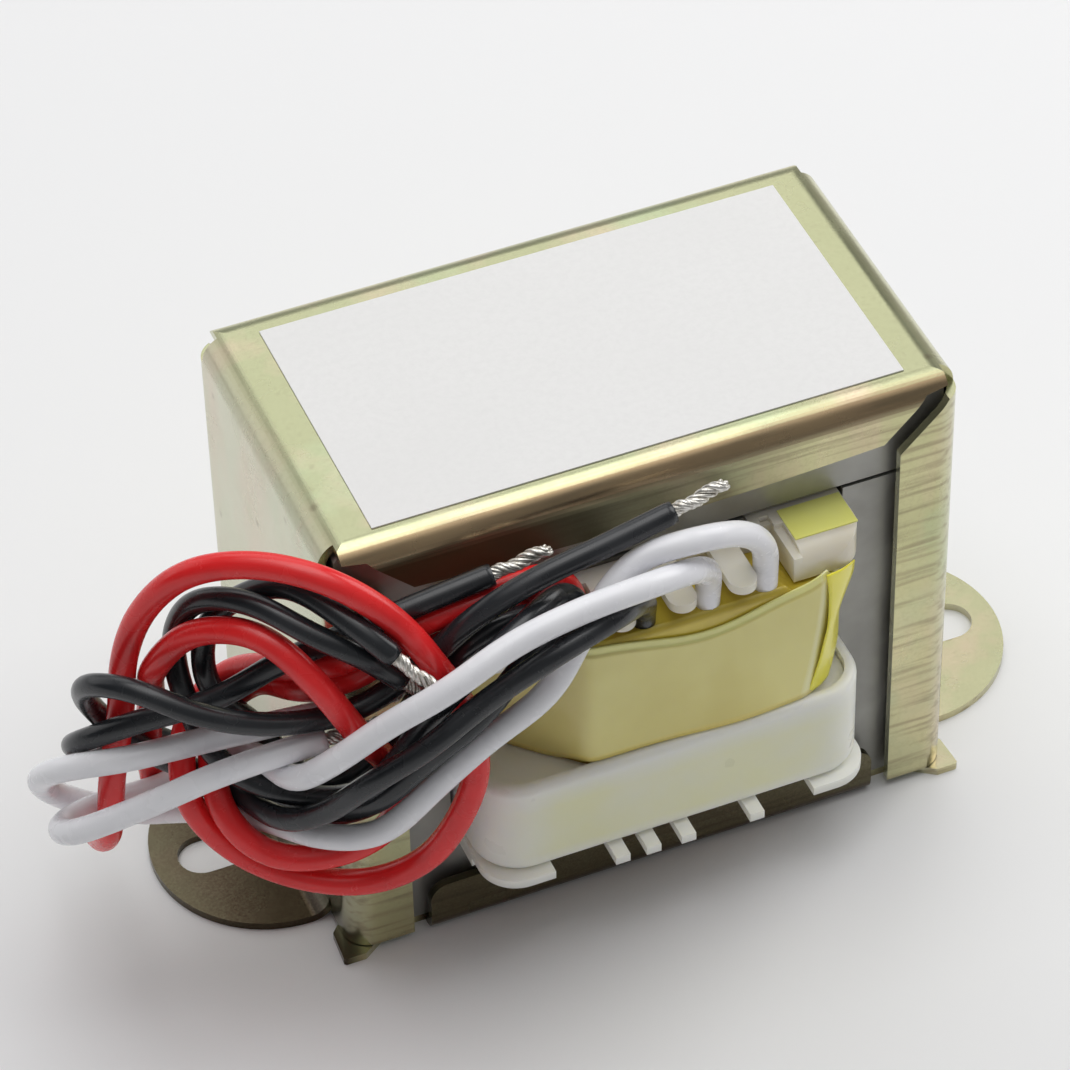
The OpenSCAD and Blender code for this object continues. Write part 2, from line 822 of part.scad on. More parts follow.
mounting_frame();
base_plate();
e_packet(1);  // e_packet_1
e_packet(2);  // e_packet_2
e_packet(3);  // e_packet_3
e_packet(4);  // e_packet_4
i_packet(1);  // i_packet_1
i_packet(2);  // i_packet_2
i_packet(3);  // i_packet_3
i_packet(4);  // i_packet_4
bobbin();
lower_shroud();
lower_winding();
upper_winding();
tape_wrap();
tape_patch(-1);  // tape_patch_left
tape_patch(1);  // tape_patch_right
label();
white_lead(white_route_1);  // lead_white_1
white_lead(white_route_2);  // lead_white_2
black_lead(black_route_1);  // lead_black_1
black_lead(black_route_2);  // lead_black_2
black_lead(black_route_3);  // lead_black_3
black_lead(black_route_4);  // lead_black_4
red_lead(red_route_1);  // lead_red_1
red_lead(red_route_2);  // lead_red_2
lead_tip(white_route_1);  // lead_white_1_tip
lead_tip(white_route_2);  // lead_white_2_tip
lead_tip(black_route_1);  // lead_black_1_tip
lead_tip(black_route_2);  // lead_black_2_tip
lead_tip(black_route_3);  // lead_black_3_tip
lead_tip(black_route_4);  // lead_black_4_tip
lead_tip(red_route_1);  // lead_red_1_tip
lead_tip(red_route_2);  // lead_red_2_tip
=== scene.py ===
"""Looks, lights and camera for a small frame-mounted transformer.

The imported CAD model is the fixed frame. Its own nodes keep their shape and get procedural
finishes. The free leads, their bare strands and the tape round the winding are new surfaces that
are worked out here as numpy grids. Lengths are in metres, apart from those of the drawn tape and
the leads, which are in mm. +Z is up.
"""

from __future__ import annotations

import logging
import math
from dataclasses import dataclass
from enum import Enum
from functools import reduce
from itertools import accumulate
from typing import Protocol

import bpy
import numpy as np
from mathutils import Matrix, Vector

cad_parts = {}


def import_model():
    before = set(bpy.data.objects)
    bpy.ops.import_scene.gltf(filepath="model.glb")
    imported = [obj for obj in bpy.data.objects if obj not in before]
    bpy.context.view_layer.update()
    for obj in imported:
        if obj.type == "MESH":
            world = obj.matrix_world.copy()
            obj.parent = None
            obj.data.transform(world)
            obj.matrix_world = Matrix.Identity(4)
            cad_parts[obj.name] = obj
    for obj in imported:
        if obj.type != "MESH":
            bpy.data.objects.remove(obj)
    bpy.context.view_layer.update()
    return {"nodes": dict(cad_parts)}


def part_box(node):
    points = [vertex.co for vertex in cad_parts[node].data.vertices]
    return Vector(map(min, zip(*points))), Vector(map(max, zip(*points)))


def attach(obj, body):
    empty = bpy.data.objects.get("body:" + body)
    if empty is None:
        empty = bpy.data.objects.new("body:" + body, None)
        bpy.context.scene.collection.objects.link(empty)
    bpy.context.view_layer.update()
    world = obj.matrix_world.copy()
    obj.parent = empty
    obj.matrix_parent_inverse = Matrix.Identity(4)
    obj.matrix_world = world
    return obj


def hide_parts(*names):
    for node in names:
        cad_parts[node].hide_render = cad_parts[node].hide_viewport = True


LOG = logging.getLogger("transformer")
MM = 0.001
WAVES_PER_SCALE = 20.0  # stripes that Blender's wave texture draws for each unit of its scale

Colour = tuple[float, float, float]
Point = tuple[float, float, float]
Plan = tuple[float, float]
Hump = tuple[float, float, float]
Socket = bpy.types.NodeSocket
Material = bpy.types.Material
Piece = bpy.types.Object
Nodes = dict[str, Piece]
Array = np.ndarray


# Materials


class NodeSheet:
    """A node tree, filled by short calls that each add one node and return its socket."""

    def __init__(self, tree: bpy.types.NodeTree, coordinates: str) -> None:
        """Keeps the tree and the coordinates that its patterns use.

        Args:
            tree: The tree to fill.
            coordinates: Name of the output of Blender's texture coordinates, such as Object.
        """
        self.tree = tree
        self.place = self.add("ShaderNodeTexCoord").outputs[coordinates]

    def add(self, kind: str, inputs: dict | None = None, **settings: object) -> bpy.types.Node:
        """Adds a node, sets its properties and then fills its inputs.

        Args:
            kind: The node's type in Blender.
            inputs: Values or sockets by the input's name or number.
            **settings: The node's properties by name.

        Returns:
            The new node.
        """
        node = self.tree.nodes.new(kind)
        for key, value in settings.items():
            setattr(node, key, value)
        for key, value in (inputs or {}).items():
            self.fill(node.inputs[key], value)
        return node

    def fill(self, socket: Socket, value: object) -> None:
        """Links value to the socket if it is a socket itself, and otherwise sets it.

        Args:
            socket: The input to fill.
            value: A socket, a number, a colour or a vector.
        """
        if isinstance(value, Socket):
            self.tree.links.new(value, socket)
        elif socket.type == "RGBA":
            socket.default_value = (*value, 1.0)
        else:
            socket.default_value = value

    def stretched(self, scale: Point) -> Socket:
        """The coordinates scaled along each axis."""
        return self.add("ShaderNodeMapping", {"Vector": self.place, "Scale": scale}).outputs[0]

    def noise(
        self, scale: float, detail: float = 3.0, rough: float = 0.5, where: Socket | None = None
    ) -> Socket:
        """Soft noise from 0 to 1.

        Args:
            scale: About how many features there are per metre.
            detail: How many finer layers are added.
            rough: Weight of each finer layer.
            where: The coordinates, if not the plain ones.

        Returns:
            The socket with the noise.
        """
        inputs = {"Vector": where or self.place}
        inputs |= {"Scale": scale, "Detail": detail, "Roughness": rough}
        return self.add("ShaderNodeTexNoise", inputs).outputs["Fac"]

    def specks(self, scale: float, low: float, high: float) -> Socket:
        """Sparse round specks, scale of them per metre: 1 up to low from a middle, 0 past high."""
        cells = self.add("ShaderNodeTexVoronoi", {"Vector": self.place, "Scale": scale})
        return self.level(cells.outputs["Distance"], low, high, 1.0, 0.0)

    def stripes(self, count: float, axis: str) -> Socket:
        """Smooth stripes from 0 to 1, count of them per metre along X, Y or Z."""
        inputs = {"Vector": self.place, "Scale": count / WAVES_PER_SCALE}
        return self.add("ShaderNodeTexWave", inputs, bands_direction=axis).outputs["Fac"]

    def level(
        self,
        value: Socket,
        low: float,
        high: float,
        to_low: float = 0.0,
        to_high: float = 1.0,
        kind: str = "LINEAR",
    ) -> Socket:
        """Maps a value from one range to another, held at both ends.

        Args:
            value: The socket to map.
            low: Its value at the first end.
            high: Its value at the second end.
            to_low: The result at the first end.
            to_high: The result at the second end.
            kind: Blender's name for the curve between the ends.

        Returns:
            The socket with the result.
        """
        inputs = {"Value": value, "From Min": low, "From Max": high}
        inputs |= {"To Min": to_low, "To Max": to_high}
        return self.add("ShaderNodeMapRange", inputs, interpolation_type=kind).outputs["Result"]

    def blend(self, amount: object, first: object, second: object) -> Socket:
        """A mix of two colours, where amount is the share of the second."""
        inputs = {0: amount, 6: first, 7: second}
        return self.add("ShaderNodeMix", inputs, data_type="RGBA").outputs[2]

    def coats(self, base: object, *coats: tuple[object, object]) -> Socket:
        """A base colour with each coat, a share and a colour, laid over it in turn."""
        return reduce(lambda under, coat: self.blend(coat[0], under, coat[1]), coats, base)

    def sum_up(self, kind: str, first: object, second: object = 0.0) -> Socket:
        """One step of arithmetic on two numbers or sockets, by Blender's name, such as ADD."""
        return self.add("ShaderNodeMath", {0: first, 1: second}, operation=kind).outputs[0]

    def product(self, *factors: object) -> Socket:
        """Two or more numbers or sockets multiplied together."""
        return reduce(lambda first, second: self.sum_up("MULTIPLY", first, second), factors)

    def axis(self, name: str) -> Socket:
        """One of the coordinates, named X, Y or Z, in metres."""
        return self.add("ShaderNodeSeparateXYZ", {0: self.place}).outputs[name]

    def facing(self, name: str) -> Socket:
        """How far the surface faces along X, Y or Z: 0 across it and 1 along it, either way."""
        normal = self.add("ShaderNodeNewGeometry").outputs["True Normal"]
        return self.sum_up("ABSOLUTE", self.add("ShaderNodeSeparateXYZ", {0: normal}).outputs[name])

    def region(self, **ends: tuple[float, ...]) -> Socket:
        """Share of a region: the product of a level() of each of the named values.

        Args:
            **ends: What level() takes after the value, by the value's name: X, Y or Z for a
                coordinate, and facing_X, facing_Y or facing_Z for how far the surface faces so.

        Returns:
            The socket with the share, from 0 to 1.
        """
        values = {name: self.axis(name) for name in ends if len(name) == 1}
        values |= {name: self.facing(name[-1]) for name in ends if len(name) > 1}
        return self.product(*(self.level(values[name], *ends[name]) for name in ends))

    def along(self, name: str) -> Socket:
        """A number kept on the piece's own points under that name."""
        return self.add("ShaderNodeAttribute", attribute_name=name).outputs["Fac"]

    def relief(
        self, height: Socket, depth: float, strength: float = 1.0, under: Socket | None = None
    ) -> Socket:
        """Adds a bump.

        Args:
            height: The socket with the height, from 0 to 1.
            depth: What a height of 1 measures, in metres.
            strength: Share of the bump that is used.
            under: An earlier bump that this one lies on.

        Returns:
            The socket with the bent normal.
        """
        inputs = {"Strength": strength, "Distance": depth, "Height": height}
        if under is not None:
            inputs["Normal"] = under
        return self.add("ShaderNodeBump", inputs).outputs[0]


class Recipe(NodeSheet):
    """A material made of one Principled shader and what feeds it, on Object coordinates."""

    def __init__(self, name: str) -> None:
        """Starts the material with its shader and an output.

        Args:
            name: Name of the new material.
        """
        self.material = bpy.data.materials.new(name)
        self.material.use_nodes = True
        self.material.node_tree.nodes.clear()
        super().__init__(self.material.node_tree, "Object")
        self.shader = self.add("ShaderNodeBsdfPrincipled")
        self.add("ShaderNodeOutputMaterial", {"Surface": self.shader.outputs[0]})

    def finish(self, **sockets: object) -> Material:
        """Fills the Principled shader's sockets, named with _ for a space.

        Args:
            **sockets: Values or sockets by name, such as Base_Color or Roughness.

        Returns:
            The finished material.
        """
        for key, value in sockets.items():
            self.fill(self.shader.inputs[key.replace("_", " ")], value)
        return self.material


class Finish(Protocol):
    """What each finish can do."""

    def material(self) -> Material:
        """Builds the finish as a new material."""


@dataclass(frozen=True)
class PassivatedZinc:
    """Yellow passivated zinc on pressed steel, with a faint rainbow and rubbed marks, and with painted
    shade, reflections and highlights in its colour.

    Each pair of numbers holds the two places between which a tint sets in or fades.
    """

    name: str = "passivated_zinc"
    olive: Colour = (0.54, 0.53, 0.29)
    straw: Colour = (0.76, 0.71, 0.42)
    # painted light on faces turned to the sides
    pale: Colour = (0.64, 0.65, 0.51)
    rose: Colour = (0.76, 0.55, 0.44)
    green: Colour = (0.50, 0.60, 0.38)
    # painted shade on the flat top faces
    sage: Colour = (0.46, 0.475, 0.29)
    # painted reflection on the front bend
    reflection_bronze: Colour = (0.44, 0.31, 0.18)
    # dirt and pits, and the painted shade of the front bend's dark band
    smut_and_shade: Colour = (0.24, 0.19, 0.12)
    # painted shade on the left foot, the plate's lips and the front flange
    shade_brown: Colour = (0.055, 0.036, 0.022)
    # painted shade on the front flange
    shade_moss: Colour = (0.060, 0.060, 0.024)
    front_half: Plan = (-0.002, 0.002)
    foot_tip: Plan = (-0.0425, -0.0375)
    foot_end: Plan = (-0.0305, -0.0285)
    foot_top: Plan = (0.002, 0.005)
    lip_ends: Plan = (0.0222, 0.0230)
    lip_top: Plan = (0.0062, 0.0064)
    bend_end: Plan = (-0.0275, -0.0270)
    flange_face: Plan = (-0.0168, -0.0160)
    flange_edge: Plan = (0.0375, 0.0385)
    flange_middle: Plan = (-0.012, 0.016)

    def material(self) -> Material:
        """Builds the finish: slow noises pick the tint, fine ones set the grain and the pits.

        Returns:
            The material.
        """
        r = Recipe(self.name)
        streaks = r.noise(90.0, 4.0, 0.6, where=r.stretched((1.0, 1.0, 0.3)))
        speckle = r.noise(2600.0, 3.0, 0.6)
        drawn = r.noise(1500.0, 2.0, 0.5, where=r.stretched((0.05, 1.0, 1.0)))
        leaning = r.region(Y=(*self.front_half, 1.0, 0.0), facing_Y=(0.25, 0.55))
        tilt = r.facing("Z")
        # painted reflection on the front bend: bronze over most of its turn, less near the top
        bent = (r.level(tilt, 0.12, 0.40, 0.0, 0.92), r.level(tilt, 0.84, 0.95, 1.0, 0.35))
        # painted shade: a dark band where the front bend turns down into the flange
        bend_dark_band = (r.level(tilt, 0.02, 0.15), r.level(tilt, 0.25, 0.5, 0.7, 0.0))
        front_flange_shade = self.front_flange_shade(r)
        # painted shade: the foot, the lips and the front flange's left part together
        all_painted_shade = r.sum_up("MAXIMUM", self.foot_and_lip_shade(r), front_flange_shade)
        grain = r.level(r.noise(4600.0, 3.0, 0.7), 0.38, 0.70, 1.0, 0.90)
        base = r.coats(
            self.olive,
            (r.level(r.noise(38.0), 0.34, 0.66), self.straw),
            # painted light: faces turned to the sides paler, as they mirror the bright floor
            (r.product(r.facing("X"), 0.75), self.pale),
            # painted shade: the flat top faces darker, more towards the left
            (r.region(facing_Z=(0.85, 0.98), X=(-0.030, 0.036, 1.0, 0.85)), self.sage),
            (r.level(streaks, 0.52, 0.70, 0.0, 0.5), self.rose),
            (r.level(r.noise(64.0, 4.0, 0.65), 0.52, 0.70, 0.0, 0.5), self.green),
            (r.level(speckle, 0.50, 0.74, 0.0, 0.16), self.smut_and_shade),
            (r.level(r.noise(300.0, 6.0, 0.75), 0.62, 0.78, 0.0, 0.22), self.smut_and_shade),
            (r.product(r.specks(190.0, 0.03, 0.10), 0.5), self.smut_and_shade),
            # darker towards the bottom, fading out by 30 mm up
            (r.level(r.axis("Z"), 0.004, 0.030, 0.20, 0.0), self.smut_and_shade),
            # painted reflection: darker bronze over the front bend
            (r.product(leaning, *bent), self.reflection_bronze),
            # painted shade: a dark band along the front bend's lower edge
            (r.product(leaning, *bend_dark_band), self.smut_and_shade),
            (r.product(leaning, r.level(drawn, 0.48, 0.66, 0.0, 0.5)), self.smut_and_shade),
            # painted shade: dark brown over the left foot, the plate's lips and the front flange's left
            # part
            (r.product(all_painted_shade, grain), self.shade_brown),
            # painted shade: olive over the front flange's left part, in place of its dark reflection
            (front_flange_shade, self.shade_moss),
        )
        bumps = r.relief(speckle, 0.000007, 0.4, under=r.relief(drawn, 0.000012, 0.6))
        dull = r.level(r.noise(160.0, 4.0, 0.6), 0.3, 0.75, 0.20, 0.32)
        dull = r.sum_up("ADD", dull, r.product(front_flange_shade, 0.3))
        # less metal where shade or a highlight is painted, so that the painted colour shows
        painted_light_share = r.sum_up("MAXIMUM", front_flange_shade, r.product(self.left_bend_highlight(r), 0.6))
        metal = r.level(painted_light_share, 0.0, 1.0, 0.92, 0.15)
        return r.finish(Base_Color=base, Metallic=metal, Roughness=dull, Normal=bumps)

    def foot_and_lip_shade(self, r: Recipe) -> Socket:
        """Share of the painted shade on the left foot, less at its tip, and on the plate's lips.

        Args:
            r: The material's recipe.

        Returns:
            The socket with the share.
        """
        tip = r.level(r.axis("X"), *self.foot_tip, 0.88, 1.0)
        foot = r.region(X=(*self.foot_end, 1.0, 0.0), Z=(*self.foot_top, 1.0, 0.0))
        between_walls = r.level(r.sum_up("ABSOLUTE", r.axis("X")), *self.lip_ends, 0.85, 0.0)
        lips = r.product(between_walls, r.region(Z=(*self.lip_top, 1.0, 0.0)))
        return r.sum_up("MAXIMUM", r.product(tip, foot), lips)

    def left_bend_highlight(self, r: Recipe) -> Socket:
        """Share of the painted highlight on the bend between the top and the left wall, where the zinc
        is made less metallic so that its light colour shows.
        """
        return r.region(X=(*self.bend_end, 1.0, 0.0), facing_X=(0.10, 0.30), facing_Z=(0.05, 0.30))

    def front_flange_shade(self, r: Recipe) -> Socket:
        """Share of the painted shade on the top flange's face in front, fading to the right."""
        face = {"Y": (*self.flange_face, 1.0, 0.0), "facing_Z": (0.0, 0.35, 1.0, 0.0)}
        return r.region(X=(*self.flange_middle, 0.90, 0.0), Z=self.flange_edge, **face)


@dataclass(frozen=True)
class OxidisedSteel:
    """Dark laminations: a satin face, and sheet edges that show as fine lines."""

    name: str = "oxidised_steel"
    face: Colour = (0.40, 0.395, 0.37)
    shade: Colour = (0.30, 0.295, 0.275)
    edge: Colour = (0.12, 0.115, 0.11)
    sheets_per_metre: float = 2000.0

    def material(self) -> Material:
        """Builds the finish: stripes along the stack where the faces turn away from it.

        Returns:
            The material.
        """
        r = Recipe(self.name)
        across = r.level(r.facing("Y"), 0.4, 0.6, 1.0, 0.0)
        lines = r.level(r.stripes(self.sheets_per_metre, "Y"), 0.55, 0.9)
        base = r.coats(
            self.face,
            (r.level(r.noise(90.0, 4.0, 0.6), 0.35, 0.65), self.shade),
            (r.product(across, lines), self.edge),
        )
        rolled = r.noise(1400.0, 2.0, 0.5, where=r.stretched((0.1, 1.0, 1.0)))
        bumps = r.relief(rolled, 0.000008, 0.6, under=r.relief(lines, 0.00003, 0.5))
        dull = r.level(r.noise(300.0), 0.3, 0.7, 0.38, 0.52)
        return r.finish(Base_Color=base, Metallic=0.7, Roughness=dull, Normal=bumps)


@dataclass(frozen=True)
class MilkyNylon:
    """Natural nylon, milky and a little translucent, warmer where the winding lies behind it.

    Each pair of numbers holds the two places between which a tint sets in or fades.
    """

    name: str = "milky_nylon"
    clear: Colour = (0.95, 0.95, 0.86)
    warm: Colour = (0.95, 0.93, 0.54)
    rosy: Colour = (0.68, 0.61, 0.48)
    thin: Colour = (0.66, 0.67, 0.62)
    corner: Plan = (0.0121, 0.0186)
    under_shroud: Plan = (0.0104, 0.0114)
    shroud_foot: Plan = (0.0114, 0.0134)
    shroud_rim: Plan = (0.0187, 0.0217)
    upper_flange: Plan = (0.0317, 0.0347)

    def material(self) -> Material:
        """Builds the finish: the warm tint fades towards the outer corners and both rims.

        Returns:
            The material.
        """
        r = Recipe(self.name)
        height, across = r.axis("Z"), r.sum_up("ABSOLUTE", r.axis("X"))
        warm = r.product(
            r.level(across, *self.corner, 1.0, 0.0),
            r.level(height, *self.shroud_foot),
            r.level(height, *self.shroud_rim, 1.0, 0.0),
        )
        cloud = r.level(r.noise(120.0), 0.3, 0.7, 0.6, 1.0)
        upper = r.level(height, *self.upper_flange, 0.0, 0.85)
        base = r.coats(
            self.clear,
            (r.product(warm, cloud), self.warm),
            (r.product(upper, cloud), self.rosy),
            (r.level(height, *self.under_shroud, 0.7, 0.0), self.thin),
        )
        skin = r.noise(260.0)
        return r.finish(
            Base_Color=base,
            Roughness=r.level(skin, 0.3, 0.7, 0.26, 0.38),
            Subsurface_Weight=0.5,
            Subsurface_Radius=(1.0, 0.92, 0.65),
            Subsurface_Scale=0.003,
            Normal=r.relief(skin, 0.00012, 0.35),
        )


@dataclass(frozen=True)
class PolyesterTape:
    """Glossy polyester tape in one of the winding's tones."""

    name: str
    light: Colour
    dark: Colour
    layers_per_metre: float = 0.0
    selvedge: Colour | None = None
    # painted highlight along the wrap's front fold
    fold: Colour = (0.96, 0.94, 0.60)
    foot: Colour = (0.80, 0.60, 0.10)

    def material(self) -> Material:
        """Builds the finish: slow cloudy tint, faint creases and a clear glossy skin.

        Returns:
            The material.
        """
        r = Recipe(self.name)
        creases = r.noise(240.0, 2.0, 0.4, where=r.stretched((1.0, 1.0, 0.25)))
        base = r.coats(
            self.light,
            (r.level(r.noise(75.0), 0.35, 0.68), self.dark),
            (r.level(creases, 0.55, 0.72, 0.0, 0.3), self.dark),
        )
        bumps = r.relief(creases, 0.00010, 0.4)
        if self.layers_per_metre:
            turns = r.stripes(self.layers_per_metre, "Z")
            base = r.blend(r.level(turns, 0.5, 0.9, 0.0, 0.35), base, self.dark)
            bumps = r.relief(turns, 0.00008, 0.6, under=bumps)
        if self.selvedge is not None:
            base = self.edges(r, base)
        return r.finish(
            Base_Color=base,
            Roughness=0.3,
            Specular_IOR_Level=0.55,
            Coat_Weight=0.35,
            Coat_Roughness=0.12,
            Subsurface_Weight=0.2,
            Subsurface_Radius=(1.0, 0.9, 0.3),
            Subsurface_Scale=0.001,
            Normal=bumps,
        )

    def edges(self, r: Recipe, base: Socket) -> Socket:
        """Adds the selvedge, a painted shadow line under it, a painted highlight along the front fold
        and a deeper tint at the foot.

        Args:
            r: The material's recipe.
            base: Its colour so far.

        Returns:
            The colour with all four.
        """
        depth = r.along("below_top")
        # painted shadow: a dark line just under the selvedge's step
        under = r.product(r.level(depth, 0.0008, 0.0009), r.level(depth, 0.0010, 0.0012, 0.5, 0.0))
        return r.coats(
            base,
            (r.level(depth, 0.0008, 0.0009, 0.65, 0.0), self.selvedge),
            (under, self.dark),
            # painted highlight along the front fold
            (r.level(r.along("from_fold"), 0.0001, 0.0006, 0.6, 0.0), self.fold),
            (r.level(r.along("above_bottom"), 0.0002, 0.0007, 0.5, 0.0), self.foot),
        )


class Tape(Enum):
    """The polyester tapes on the winding, from the outer wrap inwards."""

    WRAP = PolyesterTape(
        "pale_wrap_tape", (0.84, 0.77, 0.30), (0.72, 0.63, 0.20), selvedge=(0.84, 0.84, 0.30)
    )
    LEDGE = PolyesterTape("golden_layer_tape", (0.70, 0.55, 0.06), (0.42, 0.30, 0.03), 2600.0)
    PATCH = PolyesterTape("yellow_patch_tape", (0.99, 0.99, 0.27), (0.95, 0.93, 0.20))
    FLAP = PolyesterTape("yellow_flap_tape", (0.98, 0.90, 0.07), (0.93, 0.80, 0.05))


@dataclass(frozen=True)
class EnamelledWire:
    """Turns of enamelled copper wire, seen as fine raised lines round the winding."""

    name: str = "enamelled_wire"
    copper: Colour = (0.55, 0.24, 0.09)
    shade: Colour = (0.30, 0.11, 0.04)
    turns_per_metre: float = 2500.0

    def material(self) -> Material:
        """Builds the finish: stripes stacked along Z stand for the turns.

        Returns:
            The material.
        """
        r = Recipe(self.name)
        turns = r.stripes(self.turns_per_metre, "Z")
        base = r.blend(r.level(turns, 0.2, 0.8), self.shade, self.copper)
        bumps = r.relief(turns, 0.0001)
        return r.finish(Base_Color=base, Metallic=0.6, Roughness=0.35, Normal=bumps)


@dataclass(frozen=True)
class LabelPaper:
    """Matt pale paper with a faint fibre, left blank."""

    name: str = "label_paper"
    paper: Colour = (0.79, 0.785, 0.775)
    fibre: Colour = (0.76, 0.755, 0.745)

    def material(self) -> Material:
        """Builds the finish: two noises, a fine fibre and a slow unevenness.

        Returns:
            The material.
        """
        r = Recipe(self.name)
        base = r.coats(
            self.paper,
            (r.level(r.noise(1500.0, 4.0, 0.7), 0.4, 0.7), self.fibre),
            (r.level(r.noise(60.0, 2.0), 0.45, 0.75, 0.0, 0.5), self.fibre),
        )
        bumps = r.relief(r.noise(2200.0, 3.0, 0.6), 0.00002, 0.4)
        return r.finish(Base_Color=base, Roughness=0.62, Specular_IOR_Level=0.3, Normal=bumps)


@dataclass(frozen=True)
class Insulation:
    """Glossy extruded insulation of one diameter, drifting in patches to another colour."""

    name: str
    diameter: float
    main: Colour
    other: Colour

    def material(self) -> Material:
        """Builds the finish: a slightly uneven skin with a few scuffs.

        Returns:
            The material.
        """
        r = Recipe(self.name)
        patches = r.level(r.noise(180.0), 0.45, 0.75)
        skin = r.noise(420.0, 2.0, 0.4)
        scuffs = r.level(r.noise(1300.0, 4.0, 0.7), 0.60, 0.75, 0.0, 0.10)
        dull = r.sum_up("ADD", r.level(skin, 0.3, 0.7, 0.2, 0.3), scuffs)
        return r.finish(
            Base_Color=r.blend(patches, self.main, self.other),
            Roughness=dull,
            Normal=r.relief(skin, 0.00004, 0.25),
        )


class LeadTone(Enum):
    """The insulations of the free leads."""

    WHITE = Insulation("white_insulation", 0.0023, (0.87, 0.87, 0.90), (0.80, 0.80, 0.84))
    BLACK = Insulation("black_insulation", 0.0021, (0.016, 0.018, 0.021), (0.030, 0.032, 0.036))
    RED = Insulation("red_insulation", 0.0024, (0.80, 0.024, 0.026), (0.66, 0.016, 0.018))


@dataclass(frozen=True)
class TinnedCopper:
    """Solder-tinned copper strands, bright with a few dull spots."""

    name: str = "tinned_strands"
    bright: Colour = (0.76, 0.74, 0.69)
    dull: Colour = (0.42, 0.38, 0.32)

    def material(self) -> Material:
        """Builds the finish: noise dulls the tin in places.

        Returns:
            The material.
        """
        r = Recipe(self.name)
        spots = r.level(r.noise(1600.0, 3.0, 0.6), 0.5, 0.7)
        return r.finish(
            Base_Color=r.blend(spots, self.bright, self.dull),
            Metallic=0.95,
            Roughness=r.level(spots, 0.0, 1.0, 0.32, 0.55),
            Normal=r.relief(r.noise(2000.0, 3.0, 0.6), 0.00008, 0.7),
        )


# Surfaces


def make_object(name: str, points: Array, faces: list[Array], material: Material) -> Piece:
    """Puts whole arrays of points and faces into a new mesh object at the origin.

    Args:
        name: Name of the new piece.
        points: Points as an (n, 3) array.
        faces: An array of the smooth faces and, if there are any, one of the flat end faces. All
            faces of one array have as many corners.
        material: Finish of the whole piece.

    Returns:
        The object, linked to the scene.
    """
    mesh = bpy.data.meshes.new(name)
    corners = np.concatenate([f.ravel() for f in faces]).astype(np.int32)
    counts = np.concatenate([np.full(len(f), f.shape[1]) for f in faces]).astype(np.int32)
    starts = np.concatenate([[0], np.cumsum(counts)[:-1]]).astype(np.int32)
    smooth = np.arange(len(counts)) < len(faces[0])
    mesh.vertices.add(len(points))
    mesh.vertices.foreach_set("co", points.astype(np.float32).ravel())
    mesh.loops.add(len(corners))
    mesh.loops.foreach_set("vertex_index", corners)
    mesh.polygons.add(len(counts))
    mesh.polygons.foreach_set("loop_start", starts)
    mesh.polygons.foreach_set("use_smooth", smooth)
    mesh.update(calc_edges=True)
    mesh.validate()
    mesh.materials.append(material)
    piece = bpy.data.objects.new(name, mesh)
    bpy.context.scene.collection.objects.link(piece)
    return piece


def grid_faces(rows: int, columns: int, first: int = 0, ring_rows: bool = False) -> Array:
    """Quads of a grid whose columns close into a ring, and its rows too if ring_rows.

    Args:
        rows: Number of rows of points.
        columns: Number of points in each row.
        first: Index of the grid's first point.
        ring_rows: Whether the last row joins the first.

    Returns:
        An (n, 4) array of point indices.
    """
    i = np.arange(rows if ring_rows else rows - 1)[:, None]
    j = np.arange(columns)[None, :]
    a, b = i * columns, ((i + 1) % rows) * columns
    k = (j + 1) % columns
    quads = np.stack([a + j, a + k, b + k, b + j], axis=-1)
    return quads.reshape(-1, 4) + first


def unit(vectors: Array) -> Array:
    """Vectors scaled to length one, along the last axis."""
    return vectors / np.maximum(np.linalg.norm(vectors, axis=-1, keepdims=True), 1e-12)


def smooth_line(knots: Array, per_span: int) -> Array:
    """A Catmull-Rom curve: each span blends four neighbouring knots with cubic weights.

    Args:
        knots: Points that the curve passes through.
        per_span: Number of samples in each span.

    Returns:
        The curve's points, the last knot included.
    """
    padded = np.vstack([2 * knots[0] - knots[1], knots, 2 * knots[-1] - knots[-2]])
    t = np.arange(per_span)[:, None] / per_span
    weights = 0.5 * np.hstack(
        [-t + 2 * t**2 - t**3, 2 - 5 * t**2 + 3 * t**3, t + 4 * t**2 - 3 * t**3, t**3 - t**2]
    )
    quads = np.stack([padded[k : len(padded) - 3 + k] for k in range(4)], axis=1)
    line = np.einsum("tw,swc->stc", weights, quads).reshape(-1, 3)
    return np.vstack([line, knots[-1]])


def distances(line: Array) -> Array:
    """Distance along a line from its first point to each of its points."""
    steps = np.linalg.norm(np.diff(line, axis=0), axis=1)
    return np.concatenate([[0.0], np.cumsum(steps)])


def points_at(places: Array, marks: Array, line: Array) -> Array:
    """Points between a line's own, at places on the scale where marks gives its own."""
    return np.stack([np.interp(places, marks, column) for column in line.T], axis=1)


def even_line(line: Array, step: float) -> Array:
    """New points at even distances along a line, about a step apart."""
    marks = distances(line)
    return points_at(np.linspace(0.0, marks[-1], max(3, round(marks[-1] / step) + 1)), marks, line)


def carried_axes(line: Array) -> tuple[Array, Array, Array]:
    """Direction and two side axes at each point, carried along without twisting.

    Each next side axis is the last one with its part along the new direction taken away.

    Args:
        line: Points of the line.

    Returns:
        Arrays of directions, first side axes and second side axes.
    """
    ahead = unit(np.gradient(line, axis=0))
    start = unit(np.cross(ahead[0], (0.3, 0.9, 0.1)))
    sides = accumulate(ahead[1:], lambda side, t: unit(side - (side @ t) * t), initial=start)
    side = np.array(list(sides))
    return ahead, side, np.cross(ahead, side)


